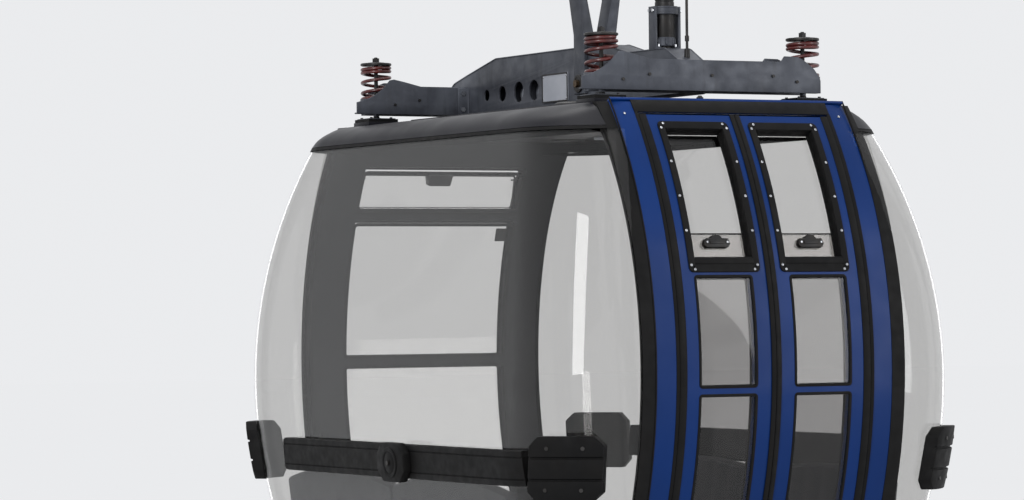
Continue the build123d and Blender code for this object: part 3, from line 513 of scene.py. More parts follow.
def turned(name: str, profile: list[Pair], at: Vector, axis: Vector, sides: int = 32) -> bpy.types.Object:
    """Turn a profile about an axis.

    Args:
        name: The object's name.
        profile: Pairs of radius and height along the axis, from one end to the other.
        at: The foot of the axis.
        axis: Its direction.
        sides: How many faces go round.

    Returns:
        The object, closed where its profile ends on the axis.
    """
    turn = UP.rotation_difference(axis.normalized()).to_matrix()
    stations = []
    for step in range(sides):
        angle = FULL_TURN * step / sides
        around = Vector((math.cos(angle), math.sin(angle), 0.0))
        stations.append([at + turn @ (around * radius + Vector((0, 0, height))) for radius, height in profile])
    return swept(name, stations, closed=False, ring=True)


def mirrored(half: list[Pair], width: float) -> list[Pair]:
    """A closed profile from its half on one side of the middle of a width."""
    return half + [(radius, width - height) for radius, height in reversed(half)] + half[:1]


def tube(name: str, path: list[Vector], radius: float, sides: int = 12) -> bpy.types.Object:
    """A round bar along a path of points."""
    stations = []
    side = None
    for i, point in enumerate(path):
        ahead = (path[min(i + 1, len(path) - 1)] - path[max(i - 1, 0)]).normalized()
        if side is None:
            side = ahead.orthogonal().normalized()
        side = (side - ahead * side.dot(ahead)).normalized()
        other = ahead.cross(side)
        spokes = [FULL_TURN * k / sides for k in range(sides)]
        stations.append([point + (side * math.cos(a) + other * math.sin(a)) * radius for a in spokes])
    return swept(name, stations)


class Head(Enum):
    """The shapes of fastener heads: sides, height as a share of radius, and whether it is domed."""

    HEX = (6, 0.75, False)
    ROUND = (14, 0.55, True)
    SOCKET = (16, 1.0, False)


def fasteners(name: str, spots: list[Spot], radius: float, head: Head, body: str, slot: str,
              look: str = "") -> bpy.types.Object:
    """Set one fastener head on each spot, by Geometry Nodes.

    Args:
        name: The object's name.
        spots: Pairs of a point and the direction that the head faces.
        radius: The head's radius.
        head: Its shape.
        body: The body that carries the heads.
        slot: The record's slot for their finish.
        look: The finish to show, where it is not the slot's own.

    Returns:
        One plain mesh with every head.
    """
    mesh = bpy.data.meshes.new(name)
    mesh.from_pydata([tuple(point) for point, _ in spots], [], [])
    facing = mesh.attributes.new("facing", "FLOAT_VECTOR", "POINT")
    facing.data.foreach_set("vector", [c for _, normal in spots for c in normal.normalized()])
    piece = placed_in_scene(name, mesh)
    tree = bpy.data.node_groups.new(name + "_heads", "GeometryNodeTree")
    tree.interface.new_socket("Points", in_out="INPUT", socket_type="NodeSocketGeometry")
    size = tree.interface.new_socket("Head radius", in_out="INPUT", socket_type="NodeSocketFloat")
    tree.interface.new_socket("Heads", in_out="OUTPUT", socket_type="NodeSocketGeometry")
    given = add_node(tree, "NodeGroupInput").outputs
    sides, height, domed = head.value
    if domed:
        shape = add_node(tree, "GeometryNodeMeshUVSphere", {"Segments": sides, "Rings": 8, "Radius": 1.0})
    else:
        shape = add_node(tree, "GeometryNodeMeshCylinder", {"Vertices": sides, "Radius": 1.0, "Depth": 2.0})
    flat = {"Geometry": shape.outputs[0], "Scale": (1.0, 1.0, height)}
    squashed = add_node(tree, "GeometryNodeTransform", flat)
    named = add_node(tree, "GeometryNodeInputNamedAttribute", {"Name": "facing"}, data_type="FLOAT_VECTOR")
    turn = add_node(tree, "FunctionNodeAlignRotationToVector", {"Vector": named.outputs[0]}, axis="Z")
    dress(tree, add_node(tree, "GeometryNodeInstanceOnPoints", {
        "Points": given["Points"],
        "Instance": squashed.outputs[0],
        "Rotation": turn.outputs[0],
        "Scale": given["Head radius"],
    }), slot)
    step = piece.modifiers.new("heads", "NODES")
    step.node_group = tree
    step[size.identifier] = radius
    return fitted(applied(piece), body, slot, look=look)


@dataclass(frozen=True)
class WallShape:
    """The cabin's outer surface, as in the solids: an arc above a straight lean on all sides."""

    corner: float = 0.3
    side: Four = (1.219, 1.4, 0.835, 16.9)
    end: Four = (0.767, 2.66, 0.945, 9.8)

    def trace(self, sizes: Four, drop: float) -> Pair:
        """Half the width at a drop, and the surface's slope there as an angle below level."""
        half, radius, belt, lean = sizes
        limit = math.radians(lean)
        angle = math.asin(max(-1.0, min(1.0, (drop - belt) / radius)))
        if angle < limit:
            return half - radius + radius * math.cos(angle), angle
        run = drop - belt - radius * math.sin(limit)
        return half - radius + radius * math.cos(limit) - run * math.tan(limit), limit

    def half_at(self, sizes: Four, drop: float, inset: float) -> float:
        """Half the body's width at a drop, on the surface that is set in by inset."""
        half, radius, belt, lean = sizes
        inner = radius - inset
        limit = inner * math.sin(math.radians(lean))
        below = drop - belt
        if below <= limit:
            return half - radius + math.sqrt(inner ** 2 - below ** 2)
        return half - radius + inner * math.cos(math.radians(lean)) - (below - limit) * math.tan(math.radians(lean))

    def bend(self, drop: float, inset: float, turn: float) -> Pair:
        """A point of a rounded corner at a drop, by the way that it faces: 0 to the end, a right angle to the side."""
        end = math.tan(self.trace(self.end, drop)[1])
        side = math.tan(self.trace(self.side, drop)[1])
        reach = self.corner - inset
        lean = math.cos(turn) * end + math.sin(turn) * side
        scale = reach / math.hypot(1.0, lean)
        middle_x = self.half_at(self.end, drop, inset) - reach * math.hypot(1.0, end)
        middle_y = self.half_at(self.side, drop, inset) - reach * math.hypot(1.0, side)
        return middle_x + scale * (math.cos(turn) + end * lean), middle_y + scale * (math.sin(turn) + side * lean)

    def on_side(self, x: float, drop: float, proud: float, facing: int = -1) -> Vector:
        """A point on the door side (facing -1) or the back wall (facing 1), a height above its surface."""
        half, slope = self.trace(self.side, drop)
        return Vector((x, facing * (half + proud * math.cos(slope)), ROOF_Z - drop - proud * math.sin(slope)))

    def on_end(self, y: float, drop: float, proud: float, facing: int) -> Vector:
        """A point on the flat part of a glass end, a height above its surface."""
        half, slope = self.trace(self.end, drop)
        return Vector((facing * (half + proud * math.cos(slope)), y, ROOF_Z - drop - proud * math.sin(slope)))

    def side_normal(self, drop: float) -> Vector:
        """The way the door side faces at a drop."""
        slope = self.trace(self.side, drop)[1]
        return Vector((0.0, -math.cos(slope), -math.sin(slope)))

    def end_normal(self, drop: float, facing: int) -> Vector:
        """The way a glass end faces at a drop."""
        slope = self.trace(self.end, drop)[1]
        return Vector((facing * math.cos(slope), 0.0, -math.sin(slope)))


WALL = WallShape()
STRIP_STEPS = 40


def wall_strip(name: str, outline: list[Pair], drops: Pair, facing: int = -1) -> bpy.types.Object:
    """A strip that runs down the door side or the back wall.

    Args:
        name: The object's name.
        outline: The strip's section, as pairs of x and height above the surface.
        drops: Where it starts and ends, as drops below the roof top.
        facing: -1 on the door side, 1 on the back wall.

    Returns:
        The object.
    """
    low, high = drops
    stations = []
    for step in range(STRIP_STEPS + 1):
        drop = low + (high - low) * step / STRIP_STEPS
        stations.append([WALL.on_side(x, drop, proud, facing) for x, proud in outline])
    return swept(name, stations)


def on_wall(facing: int) -> Place:
    """A way to set points on the door side (-1) or back wall (1), from x, drop and height above it."""
    return lambda x, drop, proud: WALL.on_side(x, drop, proud, facing)


def limits(side: int, near: float, far: float) -> Pair:
    """Two distances on one side of the middle, in rising order."""
    return (near, far) if side > 0 else (-far, -near)


def upright(x: float, rise: float, y: float) -> Vector:
    """A point from x, a rise above the roof top and y."""
    return Vector((x, y, ROOF_Z + rise))


def sideways(y: float, rise: float, x: float) -> Vector:
    """A point from y, a rise above the roof top and x."""
    return Vector((x, y, ROOF_Z + rise))


def level(x: float, y: float, rise: float) -> Vector:
    """A point from x, y and a rise above the roof top."""
    return Vector((x, y, ROOF_Z + rise))


def rect(low_u: float, high_u: float, low_v: float, high_v: float) -> list[Pair]:
    """A rectangle's four corners in order."""
    return [(low_u, low_v), (high_u, low_v), (high_u, high_v), (low_u, high_v)]


def round_rect(box: Four, radius: float, steps: int = 5, long_steps: int = 1) -> list[Pair]:
    """A rounded rectangle's points in order.

    Args:
        box: Its low and high u, then its low and high v.
        radius: The radius of its corners.
        steps: How many parts each corner has.
        long_steps: How many parts its sides along v have.

    Returns:
        The points, with the inside on the left of the path.
    """
    low_u, high_u, low_v, high_v = box
    corners = [
        (high_u - radius, low_v + radius, -90.0),
        (high_u - radius, high_v - radius, 0.0),
        (low_u + radius, high_v - radius, 90.0),
        (low_u + radius, low_v + radius, 180.0),
    ]
    points = []
    for number, (u, v, start) in enumerate(corners):
        for step in range(steps + 1):
            angle = math.radians(start + 90.0 * step / steps)
            points.append((u + radius * math.cos(angle), v + radius * math.sin(angle)))
        if number in (0, 2):
            here, there = points[-1], (points[-1][0], corners[number + 1][1])
            for step in range(1, long_steps):
                points.append((here[0], here[1] + (there[1] - here[1]) * step / long_steps))
    return points


def prism(name: str, outline: list[Pair], heights: Pair, place: Place, edge: float = 0.0) -> bpy.types.Object:
    """Raise a flat outline between two heights over a surface, with its edges rounded if asked."""
    made = swept(name, [[place(u, v, height) for u, v in outline] for height in heights])
    return bevelled(made, edge) if edge else made


def moulding(name: str, path: list[Pair], section: list[Pair], place: Place) -> bpy.types.Object:
    """Run a section along a closed path over a surface.

    Args:
        name: The object's name.
        path: The path's points on the surface.
        section: Pairs of an offset to the path's left and a height above the surface.
        place: The surface.

    Returns:
        The object.
    """
    stations = []
    for i, here in enumerate(path):
        along = Vector(path[(i + 1) % len(path)]) - Vector(path[i - 1])
        across = Vector((-along.y, along.x)).normalized()
        stations.append([place(here[0] + across.x * a, here[1] + across.y * a, height) for a, height in section])
    return swept(name, stations, ring=True)


def box(name: str, x: Pair, y: Pair, rise: Pair, edge: float = 0.0015) -> bpy.types.Object:
    """A block with rounded edges, from its limits in x, y and rise."""
    return prism(name, rect(*x, *y), rise, level, edge)


@dataclass
class Studio:
    """The floor, the lamps, the world and the camera."""

    azimuth: float = -28.0
    distance: float = 13.0715
    sideways: float = -0.23725
    eye_z: float = -2.61
    focal_px: float = 3910.0
    frame_px: tuple[int, int] = (1024, 500)
    centre_row_px: float = 307.1
    roll: float = 0.58
    floor_z: float = -4.6

    def camera(self) -> None:
        """Put the camera where the photograph was taken from."""
        turn = math.radians(self.azimuth)
        right = Vector((math.cos(turn), math.sin(turn), 0.0))
        back = Vector((math.sin(turn), -math.cos(turn), 0.0))
        data = bpy.data.cameras.new("camera")
        data.sensor_width = 36.0
        data.lens = self.focal_px * data.sensor_width / self.frame_px[0]
        data.shift_y = (self.centre_row_px - self.frame_px[1] / 2) / self.frame_px[0]
        data.clip_end = 200.0
        eye = placed_in_scene("camera", data)
        place = back * self.distance + right * self.sideways + UP * self.eye_z
        axes = Matrix((right, UP, back)).transposed().to_4x4()
        eye.matrix_world = Matrix.Translation(place) @ axes @ Matrix.Rotation(math.radians(-self.roll), 4, "Z")
        bpy.context.scene.camera = eye

    def lamp(self, name: str, place: Rgb, aim: Rgb, size: Pair, power: float) -> None:
        """A soft box of a width and a height that faces a point."""
        data = bpy.data.lights.new(name, "AREA")
        data.shape = "RECTANGLE"
        data.size, data.size_y = size
        data.energy = power
        lamp = placed_in_scene(name, data)
        lamp.location = place
        lamp.rotation_euler = (Vector(aim) - Vector(place)).to_track_quat("-Z", "Y").to_euler()

    def lights(self) -> None:
        """A broad key lamp in front, a fill and a top lamp, in a pale world."""
        self.lamp("key", (-7.5, -6.5, 1.0), (0.0, 0.0, -2.8), (2.4, 8.0), 520.0)
        self.lamp("fill", (5.5, -7.5, -1.0), (0.0, 0.0, -2.8), (3.0, 6.0), 210.0)
        self.lamp("top", (0.5, 1.5, 4.0), (0.0, 0.0, -2.5), (4.0, 4.0), 260.0)
        world = bpy.data.worlds.new("studio")
        bpy.context.scene.world = world
        world.use_nodes = True
        tree = world.node_tree
        tree.nodes.clear()
        spread, shown = 0.55, 0.88
        levels = {"Value": seen_ray(tree), "To Min": spread, "To Max": shown}
        strength = add_node(tree, "ShaderNodeMapRange", levels).outputs[0]
        shine = add_node(tree, "ShaderNodeBackground", {"Color": PALE_LIGHT, "Strength": strength})
        add_node(tree, "ShaderNodeOutputWorld", {"Surface": shine.outputs[0]})

    def floor(self) -> None:
        """A plain pale floor far enough below the cabin to leave it hanging."""
        reach = 90.0
        corners = [(-reach, -reach), (reach, -reach), (reach, reach), (-reach, reach)]
        ground = mesh_object("floor", [(x, y, self.floor_z) for x, y in corners], [[0, 1, 2, 3]], False)
        graph = Graph("pale_floor")
        matt = graph.node("ShaderNodeBsdfDiffuse", {
            "Color": graph.mix(graph.noise(0.6), (0.15, 0.15, 0.15), (0.158, 0.158, 0.158)),
        })
        glow = graph.node("ShaderNodeEmission", {"Color": PALE_LIGHT, "Strength": 0.79})
        both = graph.node("ShaderNodeAddShader", {0: matt.outputs[0], 1: glow.outputs[0]})
        share = seen_ray(graph.tree)
        seen = graph.node("ShaderNodeMixShader", {0: share, 1: matt.outputs[0], 2: both.outputs[0]})
        ground.data.materials.append(graph.close(seen.outputs[0]))

    def build(self) -> None:
        """Set the whole studio up."""
        bpy.context.scene.view_settings.view_transform = "Standard"
        self.camera()
        self.lights()
        self.floor()


class CarriedOver:
    """The solids whose shape is right as it is, in their finishes."""

    def build(self) -> None:
        """Give each node the material of its slot."""
        for name, slot in SLOTS.items():
            materials = frame["nodes"][name].data.materials
            materials.clear()
            materials.append(material(slot))


@dataclass
class RoofSprings:
    """The four coil springs between the roof frame and the pads' stems."""

    x: float = 0.37
    y: float = 0.8
    seat_rise: float = 0.076
    cap_rise: float = 0.198
    outer: float = 0.108
    wire: float = 0.0118
    turns: float = 4.8
    closed_low: float = 0.8
    closed_top: float = 1.8
    steps_a_turn: int = 30

    def coil(self, x: float, y: float, phase: float) -> bpy.types.Object:
        """One spring, closed at both ends."""
        low = ROOF_Z + self.seat_rise + self.wire / 2
        high = ROOF_Z + self.cap_rise - self.wire / 2
        closed = self.closed_low + self.closed_top
        climb = (high - low - self.wire * closed) / (self.turns - closed)
        path = []
        height = low
        count = round(self.turns * self.steps_a_turn)
        for step in range(count + 1):
            turn = step / self.steps_a_turn
            angle = phase + FULL_TURN * turn
            reach = self.outer / 2 - self.wire / 2
            path.append(Vector((x + reach * math.cos(angle), y + reach * math.sin(angle), height)))
            at_end = turn < self.closed_low or turn > self.turns - self.closed_top
            height += (self.wire if at_end else climb) / self.steps_a_turn
        return tube("coil", path, self.wire / 2, 10)

    def build(self) -> None:
        """Make all four as one piece."""
        coils = []
        for number, x in enumerate((-self.x, self.x)):
            for y in (-self.y, self.y):
                coils.append(self.coil(x, y, 1.1 + 1.7 * number + y))
        group("roof_springs", coils, CABIN, "spring_red", "springs")


@dataclass
class Portal:
    """The doorway's blue head, its black header and the seals that the leaves close on."""

    half: float = 0.4245
    opening: float = 0.355
    head: Pair = (0.0015, 0.009)
    header: Pair = (0.0095, 0.0475)
    sill_drop: float = 2.068
    seal_in: float = 0.3453
    groove: Pair = (0.4235, 0.4275)
    screw_x: float = 0.39
    screw_drops: Pair = (0.052, 2.045)
    tread: float = 0.11
    tread_ribs: int = 9
    rib_pitch: float = 0.0115

    def build(self) -> None:
        """Make every piece."""
        face = on_wall(-1)
        head = prism("portal_head", rect(-self.half, self.half, *self.head), (-0.03, 0.0022), face, 0.0008)
        fitted(head, CABIN, "blue_paint")
        header = [prism("header_face", rect(-self.opening, self.opening, *self.header), (-0.004, 0.003), face, 0.001)]
        lip = rect(-self.opening, self.opening, self.header[1] - 0.0005, self.header[1] + 0.0045)
        header.append(prism("header_lip", lip, (-0.03, -0.012), face, 0.001))
        for side in SIGNS:
            low, high = limits(side, self.seal_in, self.opening)
            outline = [(low, -0.034), (high, -0.034), (high, 0.0042), (low, 0.0012)]
            header.append(wall_strip("pillar_seal", outline, (self.header[1], self.sill_drop)))
            outline = rect(*limits(side, *self.groove), -0.002, 0.0018)
            header.append(wall_strip("trim_lip", outline, (0.0015, self.sill_drop)))
        group("portal_seals", header, CABIN, "black_rubber")
        self.threshold()
        spots = [(face(side * self.screw_x, drop, 0.0), WALL.side_normal(drop))
                 for side in SIGNS for drop in self.screw_drops]
        fasteners("portal_screws", spots, 0.0042, Head.ROUND, CABIN, "bright_steel")

    def threshold(self) -> None:
        """A ribbed tread plate on the floor inside the doorway."""
        top = -self.sill_drop
        y = -WALL.on_side(0.0, self.sill_drop, -0.05).y
        plates = [box("tread", (-0.35, 0.35), (-y, -y + self.tread), (top, top + 0.003), 0.0006)]
        for number in range(self.tread_ribs):
            at = -y + 0.012 + number * self.rib_pitch
            plates.append(box("rib", (-0.345, 0.345), (at - 0.0018, at + 0.0018), (top + 0.003, top + 0.0048), 0.0006))
        group("threshold", plates, CABIN, "pan_alloy")


@dataclass
class DoorLeaf:
    """What is fitted to one door leaf: seals, light gaskets, the sash with its screws, panes and latch."""

    side: int
    name: str
    leaf: Pair = (0.003, 0.343)
    sash: Four = (0.037, 0.289, 0.077, 0.545)
    sash_radius: float = 0.015
    frame: float = 0.025
    bar_drop: float = 0.498
    slide_drop: float = 0.418
    lights: tuple[Four, Four] = ((0.07, 0.271, 0.557, 0.895), (0.07, 0.271, 0.92, 2.08))
    edge_drops: Pair = (0.0555, 2.186)
    latch_drop: float = 0.447
    latch_x: float = 0.17
    pane_face: float = -0.028

    def place(self, x: float, drop: float, proud: float) -> Vector:
        """A point on this leaf."""
        return WALL.on_side(self.side * x, drop, proud, -1)

    def spot(self, x: float, drop: float, proud: float) -> Spot:
        """A fastener's place on this leaf."""
        return self.place(x, drop, proud), WALL.side_normal(drop)

    def strip(self, outline: list[Pair], drops: Pair) -> bpy.types.Object:
        """A strip down the leaf."""
        return wall_strip("strip", [(self.side * x, proud) for x, proud in outline], drops)

    def seals(self, body: str) -> None:
        """The black strips at the leaf's outer and inner edges, and the gaskets round its lights."""
        out_x, in_x = self.leaf[1], self.leaf[0]
        outer = [(out_x - 0.025, -0.002), (out_x, -0.002), (out_x, 0.003), (out_x - 0.004, 0.0042),
                 (out_x - 0.021, 0.0042), (out_x - 0.025, 0.002)]
        inner = [(in_x + 0.014, -0.002), (in_x + 0.014, 0.004), (in_x + 0.01, 0.0062), (in_x + 0.001, 0.0062),
                 (in_x - 0.0022, 0.0035), (in_x - 0.0022, -0.03), (in_x, -0.032), (in_x + 0.0004, -0.002)]
        pieces = [self.strip(outer, self.edge_drops), self.strip(inner, self.edge_drops)]
        for light in self.lights:
            path = round_rect(light, 0.008, 4, 24)
            section = [(-0.004, -0.001), (-0.004, 0.0012), (-0.001, 0.0026), (0.004, 0.002), (0.006, -0.003)]
            pieces.append(moulding("gasket", path, section, self.place))
            section = [(-0.01, -0.0345), (-0.01, -0.0365), (0.004, -0.0365), (0.005, -0.03), (0.0, -0.03)]
            pieces.append(moulding("inner_gasket", path, section, self.place))
        group(f"leaf_seals_{self.name}", pieces, body, "black_rubber")

    def window(self, body: str) -> None:
        """The upper sash: its frame, bar, rails, screws and drop pane."""
        section = [
            (0.0, -0.03), (0.0, 0.003), (0.0015, 0.005), (0.02, 0.005), (0.0225, 0.0036),
            (0.0235, 0.0), (0.0235, -0.02), (self.frame, -0.022), (self.frame, -0.03),
        ]
        path = round_rect(self.sash, self.sash_radius, 8, 16)
        low, high = self.sash[0] + self.frame, self.sash[1] - self.frame
        pieces = [moulding("frame", path, section, self.place)]
        face = self.pane_face
        for name, outline, heights, edge in (
            ("bar", rect(low - 0.01, high + 0.01, self.bar_drop, 0.524), (-0.03, 0.0026), 0.002),
            ("bar_step", rect(low - 0.006, high + 0.006, 0.5035, 0.519), (0.002, 0.0048), 0.0015),
            ("slide_rail", rect(low, high, self.slide_drop, self.slide_drop + 0.003),
             (face - 0.002, face + 0.0055), 0.0),
        ):
            pieces.append(prism(name, outline, heights, self.place, edge))
        for x in (low + 0.0025, high - 0.0025):
            pieces.append(self.strip(rect(x - 0.0025, x + 0.0025, -0.028, -0.02), (0.104, 0.496)))
        group(f"sash_frame_{self.name}", pieces, body, "black_rubber", f"door_sash_{self.name}")
        panes = [self.strip(rect(low, high, -0.034, -0.028), (0.1022, self.bar_drop))]
        group(f"sash_pane_{self.name}", panes, body, "clear_pane")
        sheets = [self.strip(rect(a, b, -0.009, -0.003), (top, sill)) for a, b, top, sill in self.lights]
        group(f"light_panes_{self.name}", sheets, body, "clear_pane", f"door_panes_{self.name}",
              look="smoked_pane")
        sheet = rect(low + 0.002, high - 0.002, self.slide_drop, self.bar_drop - 0.001)
        fitted(prism(f"drop_pane_{self.name}", sheet, (face + 0.0012, face + 0.0048), self.place), body, "clear_pane",
               look="tinted_pane")
        out_x, in_x = self.sash[1] - 0.0085, self.sash[0] + 0.0085
        spots = [self.spot(x, d, 0.005) for x in (in_x, out_x) for d in (0.0985, 0.204, 0.311, 0.418, 0.5235)]
        spots += [self.spot(x, d, 0.005) for x in (in_x + 0.011, out_x - 0.011) for d in (0.085, 0.537)]
        fasteners(f"sash_screws_{self.name}", spots, 0.0046, Head.ROUND, body, "bright_steel")

    def latch(self, body: str) -> None:
        """The sash's catch: a wide black pull with a raised tab."""
        half = 0.046
        outline = [
            (-half, 0.002), (-half + 0.006, -0.01), (-0.019, -0.01), (-0.017, -0.017), (-0.011, -0.02),
            (0.011, -0.02), (0.017, -0.017), (0.019, -0.01), (half - 0.006, -0.01), (half, 0.002),
            (half, 0.01), (half - 0.008, 0.0185), (-half + 0.008, 0.0185), (-half, 0.01),
        ]
        outline = [(self.latch_x + x, self.latch_drop + d) for x, d in outline]
        face = self.pane_face
        grip = rect(self.latch_x - 0.026, self.latch_x + 0.026, self.latch_drop - 0.003, self.latch_drop + 0.008)
        pieces = [prism("pull", outline, (face, face + 0.019), self.place, 0.0022),
                  prism("pull_bar", grip, (face + 0.018, face + 0.0218), self.place, 0.0015)]
        group(f"sash_pull_{self.name}", pieces, body, "dark_steel", f"sash_latch_{self.name}")
        ends = [self.spot(self.latch_x + x, self.latch_drop + 0.003, face + 0.019) for x in (-0.036, 0.036)]
        fasteners(f"pull_screws_{self.name}", ends, 0.0032, Head.SOCKET, body, "bright_steel")

    def build(self) -> None:
        """Make every piece of this leaf."""
        body = f"door_{self.name}"
        self.seals(body)
        self.window(body)
        self.latch(body)


@dataclass
class BackWall:
    """The back wall's window gaskets on both faces, the vent's frame and catch, and the blank label."""

    half: float = 0.32
    windows: tuple[Pair, ...] = ((0.145, 0.289), (0.332, 0.817), (0.855, 2.0))
    inner: float = -0.045
    edge: Four = (-0.4605, -0.448, -0.0475, -0.044)
    label: Four = (0.262, 0.306, 0.352, 0.398)
    vent_tilt: float = 14.0

    def build(self) -> None:
        """Make every piece."""
        face = on_wall(1)
        pieces = []
        for top, low in self.windows:
            path = round_rect((-self.half, self.half, top, low), 0.013, 5, 24)
            outer = [(-0.009, -0.001), (-0.009, 0.0018), (-0.003, 0.0034), (0.005, 0.0024), (0.006, -0.004)]
            inner = [(-0.007, self.inner + 0.001), (-0.007, self.inner - 0.002), (0.004, self.inner - 0.002),
                     (0.005, self.inner + 0.01), (0.0, self.inner + 0.01)]
            for section in (outer, inner):
                pieces.append(moulding("gasket", path, section, face))
        for side in SIGNS:
            outline = [(side * x, proud) for x, proud in rect(*self.edge)]
            pieces.append(wall_strip("inner_edge", outline, (0.06, 2.06), 1))
        group("back_gaskets", pieces, CABIN, "black_rubber")
        label = prism("blank_label", round_rect(self.label, 0.003, 3), (-0.024, -0.0208), face)
        fitted(label, CABIN, "dark_steel")
        self.vent(face)

    def vent(self, face: Place) -> None:
        """The tilted vent's slim edge, its stays, its hinge and its catch."""
        pieces = []
        tilt = math.radians(self.vent_tilt)
        foot = WALL.on_side(0.0, 0.291, -0.014, 1)
        up = Vector((0.0, -math.sin(tilt), math.cos(tilt)))
        out = Vector((0.0, math.cos(tilt), math.sin(tilt)))

        def pane(x: float, height: float, depth: float) -> Vector:
            """A point on the tilted pane."""
            return foot + Vector((x, 0.0, 0.0)) + up * height + out * depth

        path = round_rect((-0.315, 0.315, 0.002, 0.132), 0.012, 4)
        section = [(-0.002, 0.001), (-0.002, -0.007), (0.004, -0.007), (0.004, 0.001)]
        pieces.append(moulding("vent_edge", path, section, pane))
        pieces.append(tube("vent_hinge", [pane(-0.27, -0.001, -0.003), pane(0.27, -0.001, -0.003)], 0.0042, 12))
        for side in SIGNS:
            stay = [pane(side * 0.3, 0.115, -0.004), face(side * 0.312, 0.165, -0.04)]
            pieces.append(tube("vent_stay", stay, 0.0028, 10))
        catch = [(-0.05, 0.136), (-0.042, 0.096), (0.042, 0.096), (0.05, 0.136)]
        pieces.append(prism("vent_catch", catch, (-0.03, 0.0015), pane, 0.003))
        group("vent_fittings", pieces, CABIN, "dark_steel")


